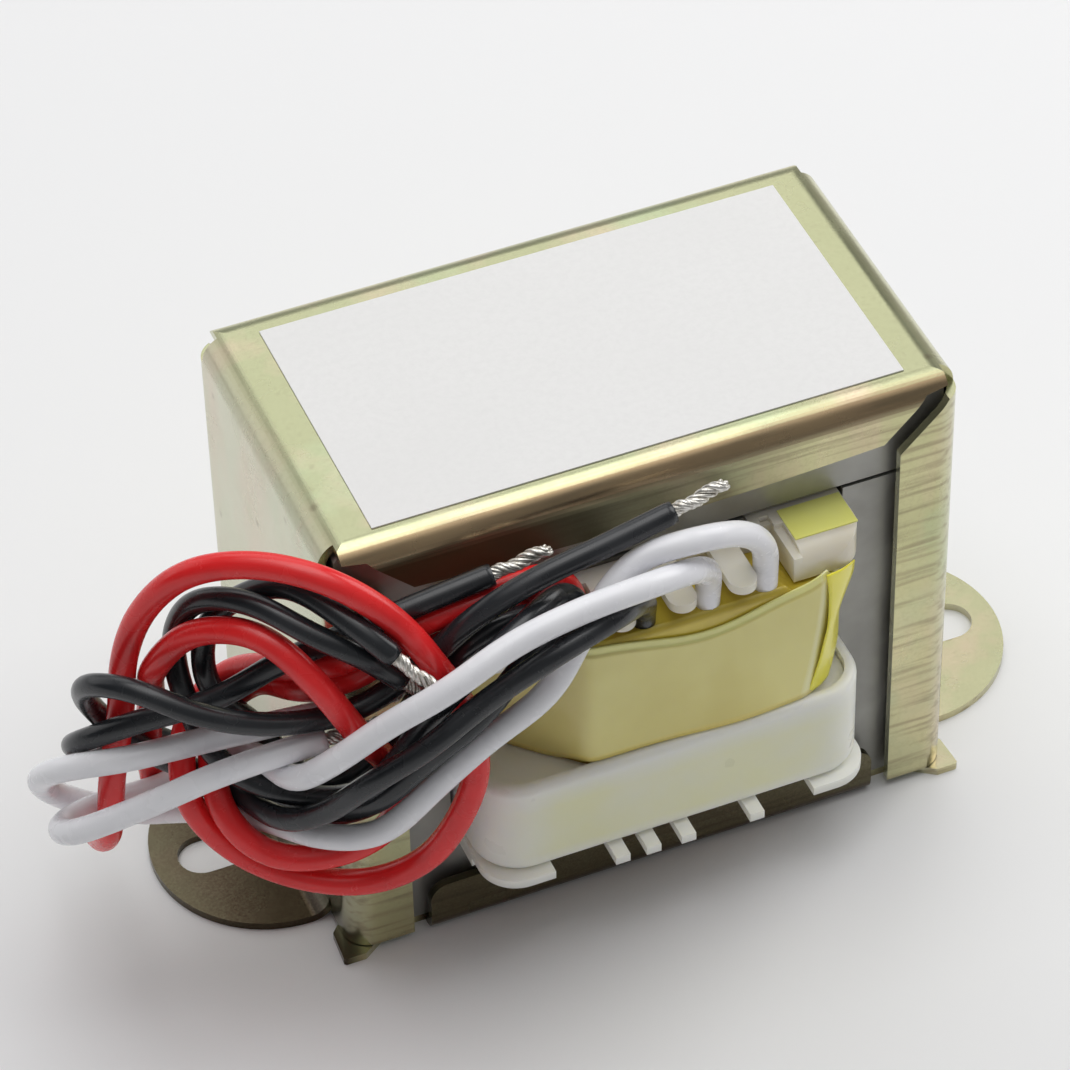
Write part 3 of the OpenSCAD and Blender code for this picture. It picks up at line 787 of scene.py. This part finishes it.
def tube(line: Array, radii: Array, sides: int, first: int = 0) -> tuple[Array, list[Array]]:
    """A closed tube: circles of the given radii round a line, with a fan at each end.

    The point at (s, a) is line(s) + radius(s) * (cos a * side(s) + sin a * other(s)).

    Args:
        line: Centre of each ring.
        radii: Radius of each ring.
        sides: Number of points round a ring.
        first: Index that the tube's first point will have in its mesh.

    Returns:
        The points, and two arrays of faces: the wall's quads and the end fans' triangles.
    """
    _, side, other = carried_axes(line)
    turn = np.linspace(0.0, math.tau, sides, endpoint=False)[:, None]
    rim = np.cos(turn) * side[:, None] + np.sin(turn) * other[:, None]
    wall = line[:, None] + radii[:, None, None] * rim
    points = np.vstack([wall.reshape(-1, 3), line[[0, -1]]])
    count = len(line) * sides
    j = np.arange(sides)
    k = (j + 1) % sides
    last = count - sides
    near = np.stack([np.full(sides, count), k, j], axis=1)
    far = np.stack([np.full(sides, count + 1), last + j, last + k], axis=1)
    return points, [grid_faces(len(line), sides, first), np.vstack([near, far]) + first]


def drawn_ring(corners: Array, marks: Array, count: int, passes: int) -> Array:
    """A closed outline through the corners, softened as tape drawn round them is.

    Each pass moves every point halfway to the middle of its two neighbours.

    Args:
        corners: The outline's corners in plan, with the first one again at the end.
        marks: Where each corner comes along the ring.
        count: Number of points.
        passes: Number of softening passes.

    Returns:
        A (count, 2) array of points.
    """
    ring = points_at(np.linspace(0.0, marks[-1], count, endpoint=False), marks, corners)
    for _ in range(passes):
        ring = 0.5 * ring + 0.25 * (np.roll(ring, 1, axis=0) + np.roll(ring, -1, axis=0))
    return ring


def ring_outwards(ring: Array) -> Array:
    """Directions in plan that point out of an anticlockwise outline, square to it."""
    ahead = unit(np.roll(ring, -1, axis=-2) - np.roll(ring, 1, axis=-2))
    return np.stack([ahead[..., 1], -ahead[..., 0]], axis=-1)


def ramp(value: Array, low: float, high: float) -> Array:
    """A smooth step: 0 below low, 1 above high and 3t^2 - 2t^3 between them."""
    t = np.clip((value - low) / (high - low), 0.0, 1.0)
    return t * t * (3.0 - 2.0 * t)


def hump(value: Array, height: float, middle: float, width: float) -> Array:
    """A smooth hump: height * e^-((value - middle) / width)^2."""
    return height * np.exp(-(((value - middle) / width) ** 2))


def keep_number(piece: Piece, name: str, values: Array) -> None:
    """Keeps one number at each of the piece's points under that name."""
    layer = piece.data.attributes.new(name, "FLOAT", "POINT")
    layer.data.foreach_set("value", values.astype(np.float32).ravel())


def report(piece: Piece) -> None:
    """Logs a piece's name and how many faces it has."""
    LOG.info("%s: %d faces", piece.name, len(piece.data.polygons))


# Sub-assemblies


@dataclass
class Studio:
    """The camera, the lamps and the pale floor. Angles are in degrees and powers in watts."""

    aim: Point = (-0.0071, -0.0071, 0.0358)
    distance: float = 0.44
    azimuth: float = -21.46
    elevation: float = 43.70
    roll: float = -1.56
    lens: float = 168.2
    floor_half: float = 1.6
    floor_rows: int = 25
    bend_at: float = 0.4
    backdrop: float = 1.2
    floor_colour: Colour = (0.83, 0.83, 0.835)
    overhead: float = 1.0
    ahead: float = 0.2
    all_round: float = 0.02
    lit: Point = (0.0, 0.0, 0.02)
    lamps: tuple[tuple[str, Point, Plan, float], ...] = (
        ("back", (0.1, 0.45, 0.45), (0.5, 0.3), 0.6),
        ("overhead", (0.0, 0.05, 0.7), (0.5, 0.5), 1.5),
        ("right", (0.5, 0.1, 0.35), (0.4, 0.4), 1.4),
        ("left", (-0.42, 0.45, 0.30), (0.6, 0.45), 0.5),
    )

    def camera(self) -> None:
        """Places the camera round the aim point and makes it the scene's own."""
        a, e, r = (math.radians(v) for v in (self.azimuth, self.elevation, self.roll))
        back = Vector((math.sin(a) * math.cos(e), -math.cos(a) * math.cos(e), math.sin(e)))
        level = Vector((math.cos(a), math.sin(a), 0.0))
        up = back.cross(level)
        right = math.cos(r) * level + math.sin(r) * up
        place = Matrix((right, back.cross(right), back)).transposed().to_4x4()
        place.translation = Vector(self.aim) + back * self.distance
        data = bpy.data.cameras.new("camera")
        data.lens = self.lens
        data.sensor_width = 36.0
        data.clip_start, data.clip_end = 0.01, 20.0
        camera = bpy.data.objects.new("camera", data)
        bpy.context.scene.collection.objects.link(camera)
        camera.matrix_world = place
        bpy.context.scene.camera = camera

    def lamp(self, name: str, place: Point, size: Plan, watts: float) -> None:
        """Adds a soft rectangular lamp that points at the object's foot.

        Args:
            name: Name of the lamp.
            place: Where it hangs.
            size: Its width and height.
            watts: Its power.
        """
        data = bpy.data.lights.new(name, "AREA")
        data.shape = "RECTANGLE"
        data.size, data.size_y = size
        data.energy = watts
        lamp = bpy.data.objects.new(name, data)
        bpy.context.scene.collection.objects.link(lamp)
        away = Vector(place) - Vector(self.lit)
        lamp.rotation_euler = away.to_track_quat("Z", "Y").to_euler()
        lamp.location = place

    def world(self) -> None:
        """Sets a dim surround, brighter overhead and a little brighter in front."""
        world = bpy.data.worlds.new("surround")
        world.use_nodes = True
        w = NodeSheet(world.node_tree, "Generated")
        overhead = w.level(w.axis("Z"), 0.70, 0.95, 0.0, self.overhead, "SMOOTHSTEP")
        ahead = w.level(w.axis("Y"), 0.0, -0.6, 0.0, self.ahead, "SMOOTHSTEP")
        total = w.sum_up("ADD", w.sum_up("ADD", overhead, ahead), self.all_round)
        shade = world.node_tree.nodes["Background"]
        w.fill(shade.inputs["Strength"], total)
        w.fill(shade.inputs["Color"], (1.0, 1.0, 1.0))
        bpy.context.scene.world = world

    def floor(self) -> None:
        """Lays the floor: a plain sheet whose last part curves up into a backdrop.

        Over the share t of that part the height is backdrop * t^2.
        """
        run = np.linspace(-1.0, 1.0, self.floor_rows)
        bend = np.clip((run - self.bend_at) / (1.0 - self.bend_at), 0.0, 1.0)
        x = np.tile([-1.5 * self.floor_half, 1.5 * self.floor_half], self.floor_rows)
        y, z = np.repeat([self.floor_half * run, self.backdrop * bend**2], 2, axis=1)
        faces = 2 * np.arange(self.floor_rows - 1)[:, None] + np.array([[0, 1, 3, 2]])
        r = Recipe("studio_floor")
        worn = tuple(0.985 * c for c in self.floor_colour)
        soft = r.blend(r.noise(3.0, 2.0), self.floor_colour, worn)
        material = r.finish(Base_Color=soft, Roughness=0.55, Specular_IOR_Level=0.25)
        points = np.stack([x, y, z], axis=1)
        make_object("floor", points, [faces], material)

    def build(self) -> None:
        """Sets up the view, the light and the floor."""
        self.camera()
        self.world()
        for lamp in self.lamps:
            self.lamp(*lamp)
        self.floor()
        bpy.context.scene.view_settings.view_transform = "Standard"


@dataclass
class DressedNodes:
    """CAD nodes that keep their shape and share one finish."""

    names: tuple[str, ...]
    finish: Finish

    def build(self, nodes: Nodes) -> None:
        """Gives each named node the finish, in all its slots.

        Args:
            nodes: The CAD pieces by node name.
        """
        material = self.finish.material()
        for name in self.names:
            if not nodes[name].material_slots:
                nodes[name].data.materials.append(material)
            for place in nodes[name].material_slots:
                place.material = material
            report(nodes[name])


@dataclass
class SteelFrame(DressedNodes):
    """The pressed channel that holds the core, and the plate under it."""

    names: tuple[str, ...] = ("mounting_frame", "base_plate")
    finish: Finish = PassivatedZinc()


@dataclass
class LaminatedCore(DressedNodes):
    """The packets of E and I sheets."""

    names: tuple[str, ...] = tuple(f"{letter}_packet_{k}" for letter in "ei" for k in range(1, 5))
    finish: Finish = OxidisedSteel()


@dataclass
class MouldedBobbin(DressedNodes):
    """The bobbin and the shroud over its lower section."""

    names: tuple[str, ...] = ("bobbin", "lower_shroud")
    finish: Finish = MilkyNylon()


@dataclass
class LowerWinding(DressedNodes):
    """The lower wound section, of bare enamelled wire."""

    names: tuple[str, ...] = ("lower_winding",)
    finish: Finish = EnamelledWire()


@dataclass
class TapePatches(DressedNodes):
    """The patches of tape on the bobbin's tabs."""

    names: tuple[str, ...] = ("tape_patch_left", "tape_patch_right")
    finish: Finish = Tape.PATCH.value


@dataclass
class PaperLabel(DressedNodes):
    """The blank label on the frame's top."""

    names: tuple[str, ...] = ("label",)
    finish: Finish = LabelPaper()


@dataclass
class DrawnTape:
    """The tape round the upper winding: outer wrap, inner layers and loose flap, in mm.

    It is drawn round the winding in flat stretches. It leans out towards the top at the right
    front corner, where a loose flap of it comes out from under the tab. Each hump holds its
    height, middle and width along X. The rings are outlines at shares of the tape's height.
    """

    low_front: tuple[Plan, ...] = (
        (-17.3, -13.0), (-13.2, -17.3), (-8.3, -22.1), (12.1, -22.1), (14.2, -21.3), (17.3, -17.6),
    )
    high_front: tuple[Plan, ...] = (
        (-17.3, -13.0), (-13.2, -17.3), (-8.3, -22.1), (14.3, -22.1), (16.4, -20.0), (17.3, -18.6),
    )
    back: tuple[Plan, ...] = ((17.3, 17.5), (13.0, 22.1), (-13.0, 22.1), (-17.3, 17.5))
    front_fold: int = 3
    flap_edges: tuple[tuple[Point, Point], ...] = (
        ((14.2, -22.15, 35.9), (17.7, -20.4, 34.9)),
        ((14.5, -22.05, 33.9), (17.6, -20.3, 33.4)),
        ((14.6, -22.0, 31.4), (16.9, -20.4, 31.4)),
        ((14.5, -22.05, 29.5), (16.5, -20.2, 29.5)),
        ((14.2, -22.1, 28.0), (16.5, -20.0, 28.0)),
        ((13.7, -22.15, 25.6), (16.5, -19.9, 25.6)),
        ((13.1, -22.2, 23.5), (16.0, -20.2, 23.5)),
        ((12.6, -22.2, 22.0), (15.2, -20.9, 22.0)),
    )
    flap_faces: Point = (0.6, -0.8, 0.0)
    flap_thickness: float = 0.12
    flap_bow: float = 0.2
    thickness: float = 0.35
    pressed_in: float = 0.05
    swell: float = 0.06
    foot_bulge: float = 0.3
    bulge: Hump = (0.55, 6.0, 5.5)
    sag: Hump = (2.4, 3.0, 7.5)
    corner: Hump = (0.4, 14.2, 1.1)
    last_turn: float = 0.14
    last_turn_ends: float = 0.93
    front_from: Plan = (19.0, 21.5)
    tabs_end: Plan = (21.15, 21.7)
    under_tabs: float = 34.75
    rim: float = 21.92
    inner_gap: float = 0.42
    inner_crown: float = 0.85
    tube: Plan = (10.4, 16.4)
    count: int = 480
    passes: int = 8

    @staticmethod
    def lean(share: Array) -> Array:
        """How far the outline has leaned out at a share of the height: 1 - (1 - share)^2."""
        return 1.0 - (1.0 - share) ** 2

    def rings(self, share: Array) -> Array:
        """Outlines of the tape at shares of its height from 0 to 1.

        Args:
            share: Shares of the height.

        Returns:
            A (shares, count, 2) array.
        """
        low, high = (np.array(f + self.back + f[:1]) for f in (self.low_front, self.high_front))
        marks = distances(high)
        low, high = (drawn_ring(c, marks, self.count, self.passes) for c in (low, high))
        return low + (high - low) * self.lean(share)[:, None, None]

    def top_edge(self, ring: Array) -> Array:
        """Height of the outer wrap's cut edge: it sags in front and passes under the tabs.

        Args:
            ring: The outline's points in plan.

        Returns:
            The height at each point.
        """
        x, y = ring[:, 0], ring[:, 1]
        clear = ramp(np.abs(y), *self.tabs_end)
        front = 1.0 + (hump(x, *self.corner) - hump(x, *self.sag)) * (y < 0.0)
        return self.under_tabs + clear * front

    def closed_grid(self, name: str, plan: Array, heights: Array, tape: Tape) -> Piece:
        """Makes a piece of rings of points, with the last ring joined to the first.

        Args:
            name: Name of the new piece.
            plan: Places of the points in plan, as (rings, count, 2).
            heights: Heights of the points, as (rings, count).
            tape: Which tape it is.

        Returns:
            The new piece.
        """
        points = np.concatenate([plan, heights[..., None]], axis=2).reshape(-1, 3) * MM
        quads = grid_faces(len(plan), self.count, ring_rows=True)
        return make_object(name, points, [quads], tape.value.material())

    def wrap(self) -> Piece:
        """Builds the outer wrap: its two faces, carried round the tape's outline.

        The outer face swells by slow sines of the height and the place round the outline. Its
        foot bulges over the shroud's rim in front, and the last turn is narrower, so that the
        face steps in by its thickness a little under the top. The inner face, which is hidden,
        follows three of the rings.

        Returns:
            The new piece.
        """
        share = np.concatenate([np.linspace(0.0, 0.9, 25), [0.925, 0.935, 0.96, 0.985, 1.0]])
        behind = [-1, 15, 0]
        rings = self.rings(share)
        out = ring_outwards(rings)
        x, y = rings[0, :, 0], rings[0, :, 1]
        front = ramp(-y, *self.front_from)
        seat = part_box("tape_wrap")[0].z / MM
        bottom = seat + (self.rim - seat) * front
        top = self.top_edge(rings[-1])
        up = share[:, None]
        heights = bottom + up * (top - bottom)
        place = np.arange(self.count) * math.tau / self.count
        swell = self.swell * np.sin(place * 7 + up * 2.0) * np.sin(up * math.pi)
        bulge = (self.foot_bulge + hump(x, *self.bulge)) * front * (1.0 - up) ** 3
        inset = self.last_turn * (up > self.last_turn_ends) + self.pressed_in
        plan = rings + (swell + bulge - inset)[..., None] * out
        plan = np.concatenate([plan, (rings - self.thickness * out)[behind]])
        heights = np.concatenate([heights, heights[behind]])
        piece = self.closed_grid("tape_turns", plan, heights, Tape.WRAP)
        low_fold, high_fold = (f[self.front_fold][0] for f in (self.low_front, self.high_front))
        fold = low_fold + (high_fold - low_fold) * self.lean(share)
        fold = np.concatenate([fold, fold[behind]])[:, None]
        from_fold = np.where(plan[..., 1] < 0.0, np.abs(plan[..., 0] - fold), high_fold)
        keep_number(piece, "below_top", (top - heights) * MM)
        keep_number(piece, "above_bottom", (heights - bottom) * MM)
        keep_number(piece, "from_fold", from_fold * MM)
        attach(piece, "root")
        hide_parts("tape_wrap")
        return piece

    def inner_layers(self) -> Piece:
        """Builds the inner tape layers, which stand straight behind the sagging outer edge.

        The top falls to the tabs' underside outside the middle part, and goes in to the tube.

        Returns:
            The new piece.
        """
        share = np.linspace(0.0, 1.0, 12)
        rings = self.rings(share)
        wall = rings - self.inner_gap * ring_outwards(rings)
        rim = wall[-1]
        tube_rim = rim * np.min(self.tube / np.abs(rim), axis=1, keepdims=True)
        across = np.array([0.06, 0.3, 0.65, 1.0])[:, None, None]
        plan = np.concatenate([wall, rim + (tube_rim - rim) * across, tube_rim[None]])
        aside = ramp(np.abs(plan[..., 0]), self.tube[0], self.tube[0] + 0.9)
        crown = self.under_tabs + self.inner_crown * (1.0 - aside)
        crown[len(wall) :] -= 0.1
        rise = np.concatenate([share, np.ones(4), [0.0]])[:, None]
        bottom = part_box("upper_winding")[0].z / MM
        heights = bottom + (crown - bottom) * rise
        piece = self.closed_grid("inner_tape_layers", plan, heights, Tape.LEDGE)
        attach(piece, "root")
        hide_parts("upper_winding")
        return piece

    def flap(self) -> Piece:
        """Builds the loose flap of tape: a strip between two smooth edges, bowed outwards.

        Returns:
            The new piece.
        """
        left, right = (smooth_line(edge, 6) for edge in np.array(self.flap_edges).swapaxes(0, 1))
        u = np.linspace(0.0, 1.0, 9)[:, None, None]
        out = np.array(self.flap_faces)
        face = left + (right - left) * u + out * (0.04 + self.flap_bow * np.sin(u * math.pi))
        loop = np.concatenate([face, face[::-1] - self.flap_thickness * out]).transpose(1, 0, 2)
        rows, columns = loop.shape[:2]
        ends = np.stack([np.arange(columns)[::-1], (rows - 1) * columns + np.arange(columns)])
        faces = [grid_faces(rows, columns), ends]
        points = loop.reshape(-1, 3) * MM
        piece = make_object("tape_flap", points, faces, Tape.FLAP.value.material())
        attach(piece, "root")
        return piece

    def build(self) -> None:
        """Builds the three pieces of tape and reports each."""
        for piece in (self.wrap(), self.inner_layers(), self.flap()):
            report(piece)


@dataclass
class FreeLead:
    """One insulated lead with twisted bare strands at its end, along a route of its own, in mm."""

    node: str
    tone: LeadTone
    route: tuple[Point, ...]
    sides: int = 20
    step: float = 0.6
    per_span: int = 48
    easing: int = 12
    bare_length: float = 5.5
    strands: int = 7
    strand_radius: float = 0.21
    bundle_radius: float = 0.40
    lay_length: float = 3.4
    strand_marks: int = 48
    strand_sides: int = 8
    cut_edge: float = 0.93

    def centreline(self) -> Array:
        """The insulation's centre in metres, from the winding to the cut end.

        The curve through the route's points is evened out: each pass moves every inner point to
        a quarter of its two neighbours' sum and half of itself, so that no bend has a kink.

        Returns:
            The centre's points.
        """
        line = even_line(smooth_line(np.array(self.route) * MM, self.per_span), self.step * MM)
        for _ in range(self.easing):
            line[1:-1] = (line[:-2] + 2.0 * line[1:-1] + line[2:]) / 4.0
        return line

    def insulation(self, line: Array, material: Material) -> Piece:
        """Sweeps the insulation, with its cut edges a little rounded.

        Args:
            line: The centreline.
            material: The insulation's finish.

        Returns:
            The new piece.
        """
        radii = np.full(len(line), self.tone.value.diameter / 2)
        radii[[0, -1]] *= self.cut_edge
        points, faces = tube(line, radii, self.sides)
        return make_object(self.node + "_insulation", points, faces, material)

    def bare_end(self, line: Array, material: Material) -> Piece:
        """Twists the strands: each is a thin tube along a helix round the bare stretch.

        A strand's centre at distance s is end + s * ahead + spread * (cos a * side +
        sin a * other), where a grows by one turn each lay length. The spread, the lay, the
        length and the thickness differ a little from strand to strand, and one runs straight.

        Args:
            line: The insulation's centreline.
            material: The strands' finish.

        Returns:
            The new piece.
        """
        ahead, side, other = (v[-1] for v in carried_axes(line))
        tubes, first = [], 0
        for k in range(self.strands + 1):
            odd = math.sin(7.3 * k + 0.11)
            reach = self.bare_length * (0.93 + 0.07 * odd)
            s = np.linspace(-0.4, reach, self.strand_marks)
            along = (s / reach).clip(0.0, 1.0)
            turns = s / (self.lay_length * (1.0 + 0.10 * odd)) + k / self.strands
            fray = 0.22 * np.sin(9.0 * along + 2.0 * k) + 0.3 * odd * along**2
            spread = self.bundle_radius * (1.0 + fray) * (k < self.strands)
            droop = 0.06 * self.bare_length * along**2 + 0.06 * np.sin(11.0 * along)
            angle = math.tau * turns[:, None]
            radial = np.cos(angle) * side + np.sin(angle) * other
            offset = s[:, None] * ahead + droop[:, None] * side + spread[:, None] * radial
            radii = self.strand_radius * (1.0 + 0.18 * np.sin(14.0 * along + 3.0 * k))
            radii[-1] *= 0.6
            tubes.append(tube(line[-1] + offset * MM, radii * MM, self.strand_sides, first))
            first += len(tubes[-1][0])
        points = np.vstack([points for points, _ in tubes])
        faces = [np.vstack([both[n] for _, both in tubes]) for n in range(2)]
        return make_object(self.node + "_strands", points, faces, material)

    def build(self, skin: Material, metal: Material) -> None:
        """Args:
            skin: The insulation's finish.
            metal: The strands' finish.
        """
        line = self.centreline()
        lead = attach(self.insulation(line, skin), "root")
        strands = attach(self.bare_end(line, metal), "root")
        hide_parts(self.node)
        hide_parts(self.node + "_tip")
        report(lead)
        report(strands)


# The points that each lead's middle follows, in mm, from the winding to the cut end.
ROUTES: dict[str, tuple[Point, ...]] = {
    "white_1": (
        (9, -20.5, 34.1), (9, -20.5, 37), (8.5, -21.5, 41), (5.5, -23.5, 45.5), (0, -25.5, 48.5),
        (-5.5, -25, 47.5), (-10.5, -26.5, 43), (-14, -27, 37.5), (-19.5, -26.5, 33.5), (-24, -26, 29.5),
        (-29, -25, 24.5), (-33.5, -21.5, 22.5), (-37, -16, 21), (-41.5, -11.5, 19.5), (-46.5, -7, 17),
        (-51.5, -5, 19), (-54, -6.5, 23.5), (-53, -11, 29), (-48, -14, 31), (-41.5, -15, 31.5),
        (-35.5, -17, 33), (-30, -19, 34.5),
    ),
    "white_2": (
        (3.5, -20.5, 34.1), (3.5, -20.5, 36.5), (3, -22, 40.5), (0, -25.5, 45), (-5, -28, 47.5),
        (-11.5, -28.5, 47.5), (-18, -29, 46.5), (-24, -29.5, 44), (-29, -28, 40.5), (-33, -25.5, 35.5),
        (-35.5, -21.5, 30.5), (-36.5, -15.5, 28), (-38.5, -10, 24), (-43, -9, 21), (-49.5, -7.5, 19.5),
        (-53.5, -10, 21), (-53, -14, 24), (-46.5, -17, 28), (-42, -18.5, 30.5), (-36, -20, 32.5),
        (-32, -20.5, 33),
    ),
    "black_1": (
        (-2.5, -20.5, 34.1), (-2.5, -20.5, 36.5), (-3.5, -23, 40.5), (-8, -28, 45), (-14, -29.5, 44.5),
        (-20, -28.5, 40.5), (-25.5, -28.5, 37), (-30.5, -26.5, 32.5), (-33.5, -23.5, 27.5),
        (-36.5, -19.5, 24), (-39.5, -12.5, 23.5), (-44.5, -9.5, 26), (-48.5, -7.5, 31),
        (-50, -10.5, 37.5), (-47, -15, 40), (-42, -18.5, 38), (-36, -20, 36), (-29.5, -21, 36),
        (-24, -21.5, 39), (-19.5, -23.5, 45), (-14, -24, 48), (-7.5, -24, 49.5), (-1, -23.5, 50.5),
    ),
    "black_2": (
        (-2.5, -18, 34.1), (-2.5, -18, 36.5), (-4, -20.5, 41), (-9, -23.5, 41.5), (-15, -25, 40),
        (-20, -26.5, 36.5), (-25, -25.5, 32), (-28.5, -24, 27.5), (-32, -19, 22), (-35.5, -14.5, 20),
        (-38.5, -8.5, 20.5), (-43.5, -4.5, 23.5), (-50, -6.5, 26.5), (-51, -10, 30.5),
        (-46.5, -13.5, 34.5), (-40, -15.5, 36.5), (-35, -17.5, 40.5), (-30, -19.5, 43.5),
        (-23.5, -20.5, 45.5), (-16.5, -21, 47),
    ),
    "black_3": (
        (-8, -20.5, 34.1), (-8, -20.5, 38.5), (-11, -22.5, 44), (-16, -26, 45), (-22, -27, 41.5),
        (-25, -25.5, 36.5), (-28.5, -25.5, 32), (-31.5, -22, 27), (-36, -17.5, 25.5), (-40, -14.5, 28),
        (-41.5, -11, 33.5), (-41.5, -9.5, 39), (-40, -12, 45), (-36.5, -16.5, 47.5), (-32.5, -21, 46),
        (-29, -23, 44), (-26, -23.5, 40.5),
    ),
    "black_4": (
        (-11, -20.5, 34.1), (-11, -20.5, 38), (-13.5, -22.5, 42.5), (-18.5, -23, 42.5),
        (-23.5, -20.5, 35), (-25.5, -20.5, 31), (-30.5, -19, 25.5), (-33.5, -15.5, 25),
        (-35.5, -12.5, 28.5), (-39.5, -12, 34.5), (-39, -11, 40.5), (-36.5, -13.5, 45.5),
        (-33, -17, 48.5), (-29, -23, 47), (-27, -25, 45),
    ),
    "red_1": (
        (-8, -18, 34.1), (-8, -18, 38.5), (-11.5, -20, 44), (-17, -21, 44.5), (-24.5, -20, 42.5),
        (-30.5, -19.5, 40.5), (-34, -15.5, 38), (-37, -10, 33.5), (-41, -10, 29.5), (-43, -13.5, 24.5),
        (-40.5, -15.5, 19), (-36, -18, 15.5), (-30, -21, 14.5), (-25, -23.5, 17.5), (-22, -25, 23),
        (-20, -25, 29), (-20.5, -23.5, 35), (-23, -24.5, 41.5), (-26, -23, 47), (-30.5, -20.5, 51),
        (-35.5, -16.5, 51.5), (-40.5, -13, 49.5), (-44, -10.5, 44.5), (-46, -9.5, 38.5), (-47, -10, 32),
        (-48.5, -10.5, 25.5), (-49, -10, 19), (-49, -6.5, 14), (-48.5, -1, 10.5),
    ),
    "red_2": (
        (-11, -18, 34.1), (-11, -18, 38.5), (-15, -19.5, 42.5), (-23, -19, 40.5), (-28, -19.5, 38.5),
        (-32.5, -17.5, 36.5), (-35, -10.5, 32), (-39, -10.5, 28), (-40.5, -16, 23.5), (-37, -19, 19),
        (-30.5, -21, 19), (-26.5, -22.5, 23.5), (-27, -22.5, 29.5), (-30, -23.5, 35.5),
        (-33, -22, 41.5), (-36.5, -18, 45), (-41, -13.5, 43), (-44, -11, 37.5), (-43.5, -8, 31.5),
        (-44, -7, 25), (-43.5, -6, 18),
    ),
}


def main() -> None:
    """Loads the frame, sets up the studio and builds the sub-assemblies in order."""
    logging.basicConfig(level=logging.INFO, format="%(message)s")
    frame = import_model()
    nodes = frame["nodes"]
    Studio().build()
    skins = {tone: tone.value.material() for tone in LeadTone}
    metal = TinnedCopper().material()
    for name, route in ROUTES.items():
        tone = LeadTone[name.split("_")[0].upper()]
        FreeLead("lead_" + name, tone, route).build(skins[tone], metal)
    for part in (SteelFrame, LaminatedCore, MouldedBobbin, LowerWinding, TapePatches):
        part().build(nodes)
    DrawnTape().build()
    PaperLabel().build(nodes)
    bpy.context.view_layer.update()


if __name__ == "__main__":
    main()
